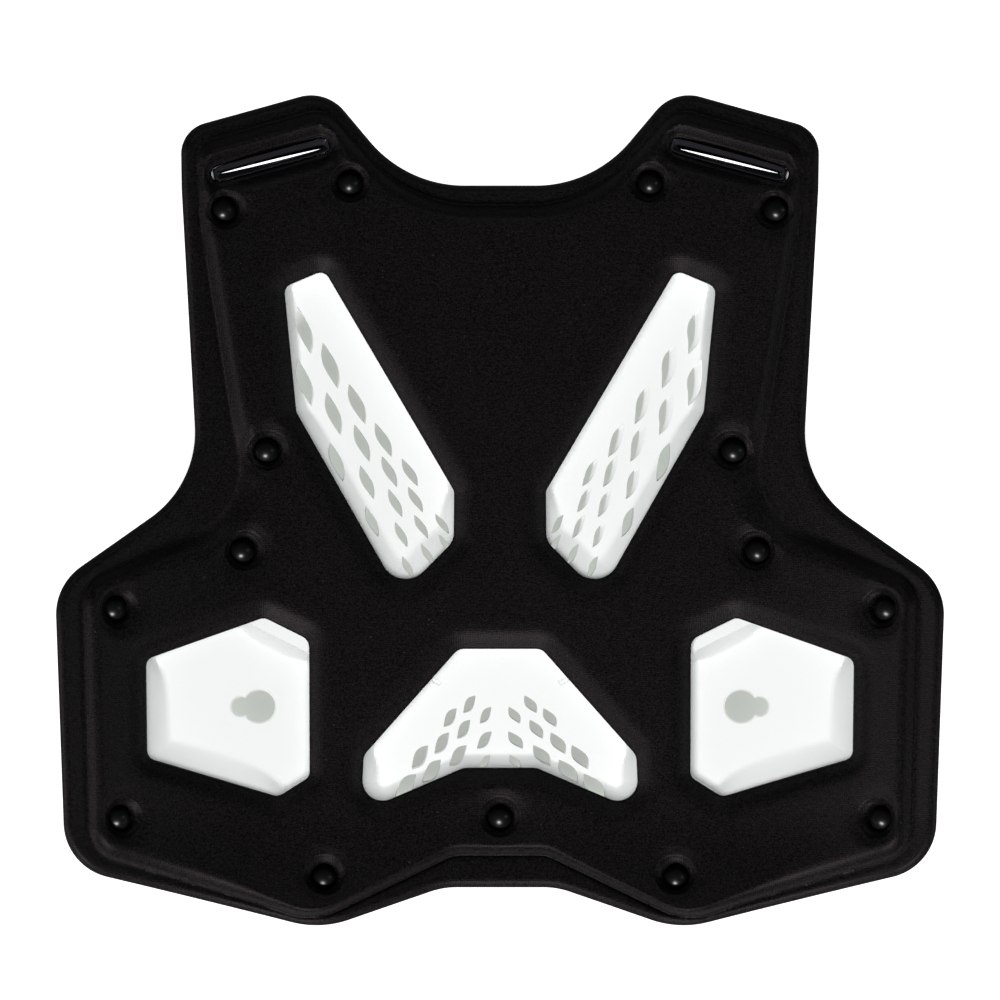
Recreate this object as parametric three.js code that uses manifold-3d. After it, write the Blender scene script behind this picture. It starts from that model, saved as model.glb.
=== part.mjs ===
// Motocross chest protector: a vented hard shell with a moulded foam liner riveted to its body side.
// It lies on its shell with the body side up. Millimetres, +Z up, +Y towards the neck, X across the chest.
import * as THREE from 'three';
import { mergeVertices } from 'three/addons/utils/BufferGeometryUtils.js';
import Module from 'manifold-3d';

const wasm = await Module();
wasm.setup();

// Thicknesses, from the body side down
const PAD_THICKNESS = 10;
const FLANGE_THICKNESS = 3.5;
const PAD_ROUNDING = 6;
const FIT_GAP = 0.5;
const SHELL_WALL = 3;
const BULGE_DEPTH = 9;
const SHELL_INSET = 8;
const BULGE_WALL = 2.55;

// Curves of the body side: a slight crown across the chest, wings bent round the ribs, a hem curled inwards
const CROWN_RADIUS = 900;
const WING_START = 85;
const WING_RADIUS = 200;
const HEM_START = 125;
const HEM_RADIUS = 110;

// Levels along the body side's normal, counted from its surface
const SHELL_INSIDE = -PAD_THICKNESS - FIT_GAP;
const SHELL_OUTSIDE = SHELL_INSIDE - SHELL_WALL;
const SHELL_MIDDLE = (SHELL_INSIDE + SHELL_OUTSIDE) / 2;
const FACE_HEIGHT = BULGE_DEPTH - SHELL_OUTSIDE;

// Fineness of the faceted solids
const OUTLINE_STEPS = 2;
const WINDOW_STEPS = 1;
const LEAF_STEPS = 3;
const SLICES_ACROSS = [45, 85, 110, 135, 160];
const SLICES_AT_HEM = [-158, -142, -125];
const ROUND_SIDES = 10;
const DOME_STEPS = 2;

// Smallest rounding of a corner, share of a slot's half width that its corners take, sizes of cutting blocks
const LEAST_ROUNDING = 1;
const SLOT_ROUNDNESS = 0.96;
const BLOCK_SIZE = 500;
const CUT_SPARE = 1;

// Right half of the liner's outline, from the neck down to the hem: corner and its rounding
const OUTLINE = [
  { x: 39.1, y: 136.5, r: 52 },
  { x: 73.1, y: 176.9, r: 18 },
  { x: 134.0, y: 159.6, r: 13.5 },
  { x: 133.6, y: 134.4, r: 80 },
  { x: 126.8, y: 10.9, r: 44 },
  { x: 185.9, y: -31.2, r: 24.5 },
  { x: 181.7, y: -149.1, r: 24 },
  { x: 75.2, y: -176.1, r: 42 },
  { x: 23.9, y: -158.6, r: 34 },
];

// Right half of the raised pad's outline, inside the thin flange
const PAD = [
  { x: 37.8, y: 128.1, r: 60 },
  { x: 73.7, y: 169.0, r: 12 },
  { x: 127.3, y: 153.7, r: 9 },
  { x: 126.4, y: 123.9, r: 60 },
  { x: 106.7, y: 0.8, r: 30 },
  { x: 175.1, y: -30.7, r: 15 },
  { x: 171.8, y: -143.6, r: 15 },
  { x: 73.9, y: -170.5, r: 22 },
  { x: 22.7, y: -147.4, r: 20 },
];

// Windows in the liner. lap is how far the shell's hollow reaches past the edge that starts at this corner,
// run is how wide its sloping wall is there.
const DIAGONAL_WINDOW = [
  { x: 73.9, y: 100.8, r: 4, lap: 2, run: 2 },
  { x: 90.7, y: 93.7, r: 4, lap: 1, run: 6 },
  { x: 85.6, y: 41.2, r: 6, lap: 1, run: 7 },
  { x: 42.0, y: -35.7, r: 10.5, lap: 1, run: 11 },
  { x: 19.5, y: -13.0, r: 8, lap: 2, run: 3 },
  { x: 19.3, y: 8.0, r: 4, lap: 2, run: 2 },
];
const SIDE_WINDOW = [
  { x: 99.1, y: -45.2, r: 4, lap: 1, run: 4 },
  { x: 148.3, y: -62.6, r: 4, lap: 1, run: 7 },
  { x: 147.8, y: -103.9, r: 4, lap: 1, run: 7 },
  { x: 93.3, y: -120.5, r: 5, lap: 1, run: 4 },
  { x: 80.0, y: -112.1, r: 4, lap: 1, run: 3 },
  { x: 80.2, y: -54.6, r: 5, lap: -6, run: 6 },
];
const BELLY_WINDOW = [
  { x: 17.5, y: -58.4, r: 5, lap: 2, run: 2 },
  { x: 57.3, y: -103.2, r: 6, lap: 1, run: 4 },
  { x: 58.4, y: -126.8, r: 8.4, lap: 1, run: 6 },
  { x: 15.3, y: -108.4, r: 8, lap: 1, run: 6 },
];

// The diagonal bulges fold along a crease: a level strip that the shell lies on, and a vented, rising facet
const CREASE = { x: 83, y: 98.7, turn: 62.5, rise: 9 };

// The side bulges' floors follow the wings
const SIDE_FLOOR = { x: 101.3, height: 12, slope: 0.24 };

// Leaf-shaped vents: first leaf of each column, step to the next one, how many, and how each leaf lies
const DIAGONAL_VENTS = [
  { x: 82.4, y: 75.8, dx: -0.2, dy: -22.2, count: 2, length: 17, shrink: 0.5, lean: 16 },
  { x: 71.4, y: 60.9, dx: -1.3, dy: -20.2, count: 3, length: 16.5, shrink: 1, lean: 18 },
  { x: 60.2, y: 44.7, dx: -2.1, dy: -16.5, count: 4, length: 15, shrink: 1.2, lean: 22 },
  { x: 49.1, y: 29.5, dx: -2.5, dy: -13.3, count: 5, length: 13, shrink: 1.1, lean: 26 },
  { x: 38.0, y: 15.8, dx: -2.4, dy: -11.4, count: 4, length: 11, shrink: 0.8, lean: 30 },
  { x: 24.5, y: -5.7, dx: -1.3, dy: -8.4, count: 2, length: 8.5, shrink: 0.5, lean: 34 },
];
const BELLY_VENTS = [
  { x: 12.9, y: -81.9, dx: 8.1, dy: -5.6, count: 2, length: 8, shrink: -0.5, lean: -34 },
  { x: 6.1, y: -86.5, dx: 9.2, dy: -5.9, count: 4, length: 7.5, shrink: -1.1, lean: -34 },
  { x: 6.6, y: -97.0, dx: 11.0, dy: -6.4, count: 4, length: 8.5, shrink: -1.4, lean: -40 },
  { x: 6.2, y: -105.8, dx: 0, dy: 0, count: 1, length: 6.5, shrink: 0, lean: -40 },
];
const VENT_SLENDERNESS = 0.36;
const VENT_SKEW = 0.15;

// Keyhole slots in the side bulges: entry hole and the narrow end towards the wing's edge
const KEYHOLE = { x: 101.3, y: -82.6, entry: 6.7, narrow: 3.9, offset: 7.6 };

// Strap eyelets in the shoulders, and the slots round them in the liner and under them in the shell
const EYELET = { x: 96.6, y: 147, turn: -15.5, length: 49, width: 6.2, height: 6 };
const EYELET_MOUTH = { length: 46, width: 4.2 };
const EYELET_GAP = { length: 43, width: 2.4, depth: 0.3 };
const LINER_SLOT = { length: 50.8, width: 6.6 };
const SHELL_SLOT = { length: 44.5, width: 3.6 };

// Snap rivets: the pairs' right-hand places, and the single one
const RIVET_PAIRS = [
  { name: 'shoulder_outer', x: 114.3, y: 126 },
  { name: 'shoulder_inner', x: 62.7, y: 137.4 },
  { name: 'breast', x: 97.1, y: 24.9 },
  { name: 'armhole', x: 106.9, y: -17.1 },
  { name: 'wing_top', x: 158.5, y: -41.3 },
  { name: 'wing_bottom', x: 156.8, y: -128.8 },
  { name: 'hem', x: 73.5, y: -152.8 },
];
const CENTRE_RIVET = { name: 'rivet_centre', x: 0, y: -129 };
const RIVET = { dome: 5.2, domeHeight: 4.2, shank: 2.6, tail: 5, tailHeight: 1.5, gap: 0.3 };
const RIVET_HOLE = 3;
const DIMPLE = { floorRadius: 6.4, rimRadius: 8.8, floorLevel: -7.5 };

// Height of a circular arc that starts level, and its slope, at a distance from its start
function arcRise(distance, radius) {
  const reach = Math.max(0, distance);
  return radius - Math.sqrt(radius * radius - reach * reach);
}

function arcSlope(distance, radius) {
  const reach = Math.max(0, distance);
  return reach / Math.sqrt(radius * radius - reach * reach);
}

function faceHeight(x, y) {
  const across = Math.abs(x);
  const wing = arcRise(across - WING_START, WING_RADIUS);
  const hem = arcRise(-y - HEM_START, HEM_RADIUS);
  return FACE_HEIGHT + arcRise(across, CROWN_RADIUS) + wing + hem;
}

function faceNormal(x, y) {
  const across = Math.abs(x);
  const sideways = arcSlope(across, CROWN_RADIUS) + arcSlope(across - WING_START, WING_RADIUS);
  return new THREE.Vector3(-Math.sign(x) * sideways, arcSlope(-y - HEM_START, HEM_RADIUS), 1).normalize();
}

function heightAtLevel(x, y, level) {
  return faceHeight(x, y) + level / faceNormal(x, y).z;
}

// Corner lists
function mirroredCorners(corners) {
  return corners.map((corner) => ({ ...corner, x: -corner.x })).reverse();
}

// The mirrored half's edges run the other way, so each takes its lap and run from the corner before
function bothHalves(half) {
  const turnedRound = half.map(({ x, y, r }, i) => ({ ...half[Math.max(0, i - 1)], x, y, r }));
  return [...half, ...mirroredCorners(turnedRound)];
}

function signedArea(corners) {
  return THREE.ShapeUtils.area(corners);
}

// Moves each edge inwards by its own distance (outwards if negative) and finds the corners again
function insetCorners(corners, distanceOf) {
  const inward = Math.sign(signedArea(corners));
  const edges = corners.map((corner, i) => {
    const after = corners[(i + 1) % corners.length];
    const along = new THREE.Vector2(after.x - corner.x, after.y - corner.y).normalize();
    const distance = distanceOf(corner);
    const across = new THREE.Vector2(-along.y, along.x).multiplyScalar(inward * distance);
    return { start: across.add(corner), along, distance };
  });
  return corners.map((corner, i) => {
    const before = edges.at(i - 1);
    const next = edges[i];
    const turn = before.along.cross(next.along);
    const reach = next.start.clone().sub(before.start).cross(next.along) / turn;
    const place = before.start.clone().addScaledVector(before.along, reach);
    const shrink = Math.sign(turn) * inward * Math.min(before.distance, next.distance);
    return { ...corner, x: place.x, y: place.y, r: Math.max(LEAST_ROUNDING, corner.r - shrink) };
  });
}

// A closed path through corners rounded by arcs
function roundedPath(path, corners) {
  corners.forEach((corner, i) => {
    const here = new THREE.Vector2(corner.x, corner.y);
    const before = corners.at(i - 1);
    const after = corners[(i + 1) % corners.length];
    const arriving = here.clone().sub(before).normalize();
    const leaving = new THREE.Vector2(after.x, after.y).sub(here).normalize();
    const turn = Math.atan2(arriving.cross(leaving), arriving.dot(leaving));
    const tangent = corner.r * Math.tan(Math.abs(turn) / 2);
    const side = Math.sign(turn);
    const start = here.clone().addScaledVector(arriving, -tangent);
    const centre = new THREE.Vector2(-arriving.y, arriving.x).multiplyScalar(side * corner.r).add(start);
    const from = Math.atan2(start.y - centre.y, start.x - centre.x);
    path.absarc(centre.x, centre.y, corner.r, from, from + turn, turn < 0);
  });
  return path;
}

// The shape inside a corner list, run counterclockwise
function shapeOf(corners) {
  const counterclockwise = signedArea(corners) < 0 ? [...corners].reverse() : corners;
  return roundedPath(new THREE.Shape(), counterclockwise);
}

function slotCorners({ length, width }) {
  const halfLength = length / 2;
  const halfWidth = width / 2;
  const r = halfWidth * SLOT_ROUNDNESS;
  return [
    { x: -halfLength, y: -halfWidth, r },
    { x: halfLength, y: -halfWidth, r },
    { x: halfLength, y: halfWidth, r },
    { x: -halfLength, y: halfWidth, r },
  ];
}

// Solids
function solid(geometry) {
  const bare = geometry.clone();
  bare.deleteAttribute('normal');
  bare.deleteAttribute('uv');
  const merged = mergeVertices(bare);
  return new wasm.Manifold(
    new wasm.Mesh({
      numProp: 3,
      vertProperties: new Float32Array(merged.attributes.position.array),
      triVerts: new Uint32Array(merged.index.array),
    }),
  );
}

function geometryOf(manifold) {
  const mesh = manifold.getMesh();
  const geometry = new THREE.BufferGeometry();
  geometry.setAttribute('position', new THREE.Float32BufferAttribute(mesh.vertProperties, 3));
  geometry.setIndex([...mesh.triVerts]);
  return geometry;
}

function mirroredSolid(manifold) {
  const geometry = geometryOf(manifold).scale(-1, 1, 1);
  geometry.setIndex([...geometry.index.array].reverse());
  return solid(geometry);
}

function joined(solids) {
  return solids.reduce((whole, piece) => whole.add(piece));
}

function extruded(shape, bottom, top, rounding = 0, steps = OUTLINE_STEPS) {
  const geometry = new THREE.ExtrudeGeometry(shape, {
    depth: top - bottom - 2 * rounding,
    curveSegments: steps,
    bevelEnabled: rounding > 0,
    bevelThickness: rounding,
    bevelSize: rounding,
    bevelOffset: -rounding,
    bevelSegments: 1,
  });
  return geometry.translate(0, 0, bottom + rounding);
}

// A closed body through sections of like corners, each at its own height, from the lowest up
function lofted(sections) {
  const rings = sections.map(({ corners, height }) => {
    const points = shapeOf(corners).getPoints(WINDOW_STEPS);
    return points.map(({ x, y }) => new THREE.Vector3(x, y, height(x, y)));
  });
  const count = rings[0].length;
  const index = [];
  for (let level = 0; level + 1 < rings.length; level += 1) {
    for (let i = 0; i < count; i += 1) {
      const low = level * count + i;
      const lowNext = level * count + ((i + 1) % count);
      index.push(low, lowNext, lowNext + count, low, lowNext + count, low + count);
    }
  }
  const top = (rings.length - 1) * count;
  for (const [a, b, c] of THREE.ShapeUtils.triangulateShape(rings[0], [])) {
    index.push(c, b, a);
  }
  for (const [a, b, c] of THREE.ShapeUtils.triangulateShape(rings.at(-1), [])) {
    index.push(top + a, top + b, top + c);
  }
  const geometry = new THREE.BufferGeometry().setFromPoints(rings.flat());
  return geometry.setIndex(index);
}

// A prism with level ends
function prism(corners, bottom, top) {
  return lofted([
    { corners, height: () => bottom },
    { corners, height: () => top },
  ]);
}

// Cuts a body at places along an axis
function sliced(manifold, axis, places) {
  const slices = [];
  let rest = manifold;
  for (const place of places) {
    const [beyond, before] = rest.splitByPlane(axis, place);
    slices.push(before);
    rest = beyond;
  }
  return [...slices, rest];
}

// Bends a flat body, whose Z is its level, onto the body side's curves. It is sliced first, so that its flat
// faces can bend, and the slices are joined again.
function draped(manifold) {
  const across = [...SLICES_ACROSS.map((place) => -place).reverse(), 0, ...SLICES_ACROSS];
  const columns = sliced(manifold, [1, 0, 0], across);
  const cells = columns.flatMap((column) => sliced(column, [0, 1, 0], SLICES_AT_HEM));
  const bent = cells.filter((cell) => !cell.isEmpty()).map((cell) => {
    const geometry = geometryOf(cell);
    const position = geometry.getAttribute('position');
    for (let i = 0; i < position.count; i += 1) {
      position.setZ(i, heightAtLevel(position.getX(i), position.getY(i), position.getZ(i)));
    }
    return solid(geometry);
  });
  return joined(bent);
}

// Turns +Z to the body side's normal at a place on it
function placeOnFace({ x, y }) {
  const quaternion = new THREE.Quaternion().setFromUnitVectors(new THREE.Vector3(0, 0, 1), faceNormal(x, y));
  const position = new THREE.Vector3(x, y, faceHeight(x, y));
  const matrix = new THREE.Matrix4().compose(position, quaternion, new THREE.Vector3(1, 1, 1));
  return { position, quaternion, matrix };
}

function turned(profile) {
  const points = profile.map(([radius, height]) => new THREE.Vector2(radius, height));
  return new THREE.LatheGeometry(points, ROUND_SIDES).rotateX(Math.PI / 2);
}

function rivetGeometry() {
  const seat = DIMPLE.floorLevel + RIVET.gap;
  const tailTop = SHELL_OUTSIDE - FIT_GAP;
  const profile = [
    [0, tailTop - RIVET.tailHeight],
    [RIVET.tail, tailTop - RIVET.tailHeight],
    [RIVET.tail, tailTop],
    [RIVET.shank, tailTop],
    [RIVET.shank, seat],
    [RIVET.dome, seat],
  ];
  for (let step = 1; step <= DOME_STEPS; step += 1) {
    const angle = (step / DOME_STEPS) * (Math.PI / 2);
    const radius = step === DOME_STEPS ? 0 : RIVET.dome * Math.cos(angle);
    profile.push([radius, seat + RIVET.domeHeight * Math.sin(angle)]);
  }
  return turned(profile);
}

function dimpleCutter() {
  return turned([
    [0, DIMPLE.floorLevel],
    [DIMPLE.floorRadius, DIMPLE.floorLevel],
    [DIMPLE.rimRadius, PAD_ROUNDING],
    [0, PAD_ROUNDING],
  ]);
}

function rivetHoleCutter() {
  const reach = 2 * PAD_THICKNESS;
  return turned([
    [0, -reach],
    [RIVET_HOLE, -reach],
    [RIVET_HOLE, DIMPLE.floorLevel + PAD_ROUNDING],
    [0, DIMPLE.floorLevel + PAD_ROUNDING],
  ]);
}

// Every rivet with its full name and place
const rivets = [CENTRE_RIVET];
for (const { name, x, y } of RIVET_PAIRS) {
  rivets.push({ name: `rivet_${name}_left`, x: -x, y });
  rivets.push({ name: `rivet_${name}_right`, x, y });
}

// An eyelet bridges the shoulder's curve: the shell's height under its two ends sets its height and tilt
function placeEyelet(side) {
  const turn = side * THREE.MathUtils.degToRad(EYELET.turn);
  const centre = new THREE.Vector2(side * EYELET.x, EYELET.y);
  const arm = new THREE.Vector2(EYELET.length / 2, 0).rotateAround(new THREE.Vector2(), turn);
  const [low, high] = [-1, 1].map((end) => {
    const tip = centre.clone().addScaledVector(arm, end);
    return heightAtLevel(tip.x, tip.y, -PAD_THICKNESS);
  });
  const rotation = new THREE.Euler(0, -Math.atan2(high - low, EYELET.length), turn, 'ZYX');
  return { position: new THREE.Vector3(centre.x, centre.y, (low + high) / 2), rotation };
}

function slotCutter(side, size) {
  const { position, rotation } = placeEyelet(side);
  const reach = 2 * PAD_THICKNESS;
  const geometry = prism(slotCorners(size), -reach, reach);
  return solid(geometry.rotateZ(rotation.z).translate(position.x, position.y, position.z));
}

function eyeletGeometry() {
  const { height } = EYELET;
  const throat = lofted([
    { corners: slotCorners(EYELET_GAP), height: () => -CUT_SPARE },
    { corners: slotCorners(EYELET_GAP), height: () => height * EYELET_GAP.depth },
    { corners: slotCorners(EYELET_MOUTH), height: () => height },
    { corners: slotCorners(EYELET_MOUTH), height: () => height + CUT_SPARE },
  ]);
  return geometryOf(solid(prism(slotCorners(EYELET), 0, height)).subtract(solid(throat)));
}

// A window through the flat liner, flared where the pad's edge is rounded
function windowCutter(corners) {
  const flared = insetCorners(corners, () => -PAD_ROUNDING);
  return solid(
    lofted([
      { corners, height: () => -2 * PAD_THICKNESS },
      { corners, height: () => -PAD_ROUNDING },
      { corners: flared, height: () => 0 },
      { corners: flared, height: () => PAD_THICKNESS },
    ]),
  );
}

// Foam liner: thin flange, raised pad with rounded edges, windows, strap slots, rivet dimples and holes
function linerGeometry() {
  const flange = extruded(shapeOf(bothHalves(OUTLINE)), -PAD_THICKNESS, FLANGE_THICKNESS - PAD_THICKNESS);
  const tall = extruded(shapeOf(bothHalves(PAD)), -PAD_THICKNESS - PAD_ROUNDING, 0, PAD_ROUNDING);
  const spare = 2 * PAD_ROUNDING;
  const below = new THREE.BoxGeometry(BLOCK_SIZE, BLOCK_SIZE, spare);
  below.translate(0, 0, -PAD_THICKNESS - spare / 2);
  let flat = solid(flange).add(solid(tall).subtract(solid(below)));
  for (const window of [DIAGONAL_WINDOW, SIDE_WINDOW]) {
    flat = flat.subtract(windowCutter(window)).subtract(windowCutter(mirroredCorners(window)));
  }
  let liner = draped(flat.subtract(windowCutter(bothHalves(BELLY_WINDOW))));
  for (const side of [-1, 1]) {
    liner = liner.subtract(slotCutter(side, LINER_SLOT));
  }
  for (const rivet of rivets) {
    const { matrix } = placeOnFace(rivet);
    liner = liner.subtract(solid(dimpleCutter().applyMatrix4(matrix)));
    liner = liner.subtract(solid(rivetHoleCutter().applyMatrix4(matrix)));
  }
  return geometryOf(liner);
}

// One bulge of the shell: the outer boss and the hollow inside it
function bulge(window, floorHeight, aboveMiddle) {
  const above = (level) => (x, y) => heightAtLevel(x, y, level);
  const rim = insetCorners(window, (corner) => -corner.lap);
  const floor = insetCorners(rim, (corner) => corner.run);
  const outerRim = insetCorners(rim, () => -BULGE_WALL);
  const outerFloor = insetCorners(floor, () => -BULGE_WALL);
  const boss = lofted([
    { corners: outerFloor, height: floorHeight },
    { corners: outerRim, height: above(SHELL_MIDDLE) },
    { corners: outerRim, height: above(SHELL_INSIDE) },
  ]);
  const hollow = lofted([
    { corners: floor, height: (x, y) => floorHeight(x, y) + SHELL_WALL },
    { corners: rim, height: above(SHELL_INSIDE) },
    { corners: rim, height: above(SHELL_INSIDE + SHELL_WALL) },
  ]);
  return { boss: solid(boss).subtract(aboveMiddle), hollow: solid(hollow) };
}

// Everything below a facet that rises from the crease, at a height above the surface that the part lies on
function belowFacet(height) {
  const block = new THREE.BoxGeometry(BLOCK_SIZE, BLOCK_SIZE, BLOCK_SIZE);
  block.translate(0, -BLOCK_SIZE / 2, -BLOCK_SIZE / 2);
  block.rotateX(THREE.MathUtils.degToRad(-CREASE.rise));
  block.rotateZ(THREE.MathUtils.degToRad(CREASE.turn));
  return solid(block.translate(CREASE.x, CREASE.y, height));
}

function leafShape(length, width) {
  const half = length / 2;
  const skew = length * VENT_SKEW;
  const leaf = new THREE.Shape().moveTo(0, half);
  leaf.quadraticCurveTo(-width, skew, 0, -half);
  leaf.quadraticCurveTo(width, -skew, 0, half);
  return leaf;
}

function ventCutters(columns) {
  const cutters = [];
  for (const { x, y, dx, dy, count, length, shrink, lean } of columns) {
    for (let i = 0; i < count; i += 1) {
      const size = length - i * shrink;
      const leaf = new THREE.ExtrudeGeometry(leafShape(size, size * VENT_SLENDERNESS), {
        depth: 2 * FACE_HEIGHT,
        curveSegments: LEAF_STEPS,
        bevelEnabled: false,
      });
      leaf.rotateZ(THREE.MathUtils.degToRad(-lean));
      cutters.push(solid(leaf.translate(x + i * dx, y + i * dy, -FACE_HEIGHT)));
    }
  }
  return joined(cutters);
}

function keyholeCutter() {
  const round = (radius, x) => {
    const drill = new THREE.CylinderGeometry(radius, radius, 2 * FACE_HEIGHT, 2 * ROUND_SIDES);
    return solid(drill.rotateX(Math.PI / 2).translate(x, KEYHOLE.y, FACE_HEIGHT / 2));
  };
  return round(KEYHOLE.entry, KEYHOLE.x).add(round(KEYHOLE.narrow, KEYHOLE.x + KEYHOLE.offset));
}

// Hard shell: a curved plate with three kinds of hollow bulge, vents, keyholes, slots and rivet holes
function shellGeometry() {
  const level = () => 0;
  const wingFloor = (x) => SIDE_FLOOR.height + (x - SIDE_FLOOR.x) * SIDE_FLOOR.slope - SHELL_WALL;
  const outline = shapeOf(insetCorners(bothHalves(OUTLINE), () => SHELL_INSET));
  const aboveMiddle = draped(solid(extruded(outline, SHELL_MIDDLE, PAD_THICKNESS)));
  const diagonal = bulge(DIAGONAL_WINDOW, level, aboveMiddle);
  diagonal.boss = diagonal.boss.subtract(belowFacet(0));
  diagonal.hollow = diagonal.hollow.subtract(belowFacet(SHELL_WALL));
  const side = bulge(SIDE_WINDOW, wingFloor, aboveMiddle);
  const belly = bulge(bothHalves(BELLY_WINDOW), level, aboveMiddle);

  const bosses = diagonal.boss.add(side.boss);
  const cuts = joined([diagonal.hollow, side.hollow, ventCutters(DIAGONAL_VENTS), keyholeCutter()]);
  const bellyVents = ventCutters(BELLY_VENTS);
  const bellyCuts = joined([belly.hollow, bellyVents, mirroredSolid(bellyVents)]);

  const plate = draped(solid(extruded(outline, SHELL_OUTSIDE, SHELL_INSIDE, 0, WINDOW_STEPS)));
  let shell = joined([plate, bosses, mirroredSolid(bosses), belly.boss]);
  shell = shell.subtract(cuts).subtract(mirroredSolid(cuts)).subtract(bellyCuts);
  for (const end of [-1, 1]) {
    shell = shell.subtract(slotCutter(end, SHELL_SLOT));
  }
  for (const rivet of rivets) {
    shell = shell.subtract(solid(rivetHoleCutter().applyMatrix4(placeOnFace(rivet).matrix)));
  }
  return geometryOf(shell);
}

// Materials
const shellPlastic = new THREE.MeshStandardMaterial({ color: 0xf4f6f4, roughness: 0.45, metalness: 0 });
const linerFabric = new THREE.MeshStandardMaterial({ color: 0x0c0b0c, roughness: 0.95, metalness: 0 });
const rivetPlastic = new THREE.MeshStandardMaterial({ color: 0x0b0b0c, roughness: 0.3, metalness: 0 });
const eyeletPlastic = new THREE.MeshStandardMaterial({ color: 0x24272b, roughness: 0.4, metalness: 0 });

function part(name, geometry, material) {
  const mesh = new THREE.Mesh(geometry, material);
  mesh.name = name;
  return mesh;
}

const protector = new THREE.Group();
protector.add(part('shell', shellGeometry(), shellPlastic));
protector.add(part('liner', linerGeometry(), linerFabric));

for (const rivet of rivets) {
  const { position, quaternion } = placeOnFace(rivet);
  const mesh = part(rivet.name, rivetGeometry(), rivetPlastic);
  mesh.position.copy(position);
  mesh.quaternion.copy(quaternion);
  protector.add(mesh);
}

for (const [name, side] of [['left', -1], ['right', 1]]) {
  const { position, rotation } = placeEyelet(side);
  const mesh = part(`strap_eyelet_${name}`, eyeletGeometry(), eyeletPlastic);
  mesh.position.copy(position);
  mesh.rotation.copy(rotation);
  protector.add(mesh);
}

export default protector;
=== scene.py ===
"""Looks of a motocross chest protector: a white vented shell with a black moulded liner riveted to it.

The file is laid out as an add-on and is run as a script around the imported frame.
"""

import math

import bpy
import numpy as np
from bpy.props import FloatProperty, FloatVectorProperty, PointerProperty
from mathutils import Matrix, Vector
from mathutils.geometry import delaunay_2d_cdt


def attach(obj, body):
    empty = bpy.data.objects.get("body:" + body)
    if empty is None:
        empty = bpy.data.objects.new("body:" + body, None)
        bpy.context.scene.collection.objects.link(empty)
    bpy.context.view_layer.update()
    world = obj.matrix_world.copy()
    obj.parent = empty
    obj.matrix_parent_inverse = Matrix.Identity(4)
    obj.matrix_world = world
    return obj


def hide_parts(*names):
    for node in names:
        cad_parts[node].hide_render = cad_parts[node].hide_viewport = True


bl_info = {
    "name": "Motocross chest protector",
    "version": (1, 0, 0),
    "blender": (4, 5, 0),
    "location": "View3D > Sidebar > Protector",
    "description": "Builds the looks of a chest protector around its frame",
    "category": "Object",
}

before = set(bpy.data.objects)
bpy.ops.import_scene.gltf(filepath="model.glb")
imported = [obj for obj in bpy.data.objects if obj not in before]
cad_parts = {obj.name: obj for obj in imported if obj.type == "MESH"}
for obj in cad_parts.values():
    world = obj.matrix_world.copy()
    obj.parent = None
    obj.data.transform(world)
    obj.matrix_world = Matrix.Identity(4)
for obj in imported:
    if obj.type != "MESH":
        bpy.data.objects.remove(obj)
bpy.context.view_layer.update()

BODY = "root"
MM = 0.001

# Curves of the body side, in millimetres: a crown across the chest, wings bent round the ribs,
# and a hem curled inwards
CROWN_RADIUS = 900.0
WING_START = 85.0
WING_RADIUS = 200.0
HEM_START = 125.0
HEM_RADIUS = 110.0
FACE_HEIGHT = 22.5

# Right half of the liner's outline, from the neck down to the hem: x, y, rounding
OUTLINE = (
    (39.1, 136.5, 52.0),
    (73.1, 176.9, 18.0),
    (134.0, 159.6, 13.5),
    (133.6, 134.4, 80.0),
    (126.8, 10.9, 44.0),
    (185.9, -31.2, 24.5),
    (181.7, -149.1, 24.0),
    (75.2, -176.1, 42.0),
    (23.9, -158.6, 34.0),
)

# Right half of the raised pad's foot, inside the thin flange: x, y, rounding
PAD = (
    (37.8, 128.1, 60.0),
    (73.7, 169.0, 12.0),
    (127.3, 153.7, 9.0),
    (126.4, 123.9, 60.0),
    (106.7, 0.8, 30.0),
    (175.1, -30.7, 15.0),
    (171.8, -143.6, 15.0),
    (77.9, -172.6, 28.0),
    (19.5, -144.6, 14.0),
)

# Windows in the liner: x, y, rounding, and for the edge that starts there how far the shell's hollow
# reaches past it and how wide its sloping wall is
DIAGONAL_WINDOW = (
    (73.9, 100.8, 4.0, 2.0, 2.0),
    (90.7, 93.7, 4.0, 1.0, 4.6),
    (85.6, 41.2, 6.0, 1.0, 7.5),
    (42.0, -35.7, 10.5, 1.0, 12.0),
    (19.5, -13.0, 8.0, 2.0, 8.0),
    (19.3, 8.0, 4.0, 2.0, 2.0),
)
SIDE_WINDOW = (
    (99.1, -45.2, 4.0, 1.5, 1.5),
    (148.3, -62.6, 4.0, 1.0, 10.0),
    (147.8, -103.9, 4.0, 1.0, 11.5),
    (93.3, -120.5, 5.0, 1.5, 2.5),
    (80.0, -112.1, 4.0, 1.5, 1.5),
    (80.2, -54.6, 5.0, -5.0, 6.0),
)
BELLY_WINDOW = (
    (17.5, -58.4, 5.0, 2.0, 2.0),
    (57.3, -103.2, 6.0, 1.0, 8.5),
    (58.4, -126.8, 8.4, 1.0, 6.5),
    (15.3, -108.4, 8.0, 1.0, 6.5),
    (-15.3, -108.4, 8.0, 1.0, 6.5),
    (-58.4, -126.8, 8.4, 1.0, 8.5),
    (-57.3, -103.2, 6.0, 2.0, 2.0),
    (-17.5, -58.4, 5.0, 2.0, 2.0),
)

# The diagonal hollows fold along a crease that runs from this place at this turn, and rise beyond it
CREASE = {"x": 83.0, "y": 98.7, "turn": 62.5, "rise": 9.0, "softness": 3.0}

# The side hollows' floors follow the wings: height and slope of their outer side
SIDE_FLOOR = {"x": 101.3, "height": 9.0, "slope": 0.24}

# How a hollow's wall bends from its crease to its foot
HOLLOW_BEND = 1.25

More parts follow.
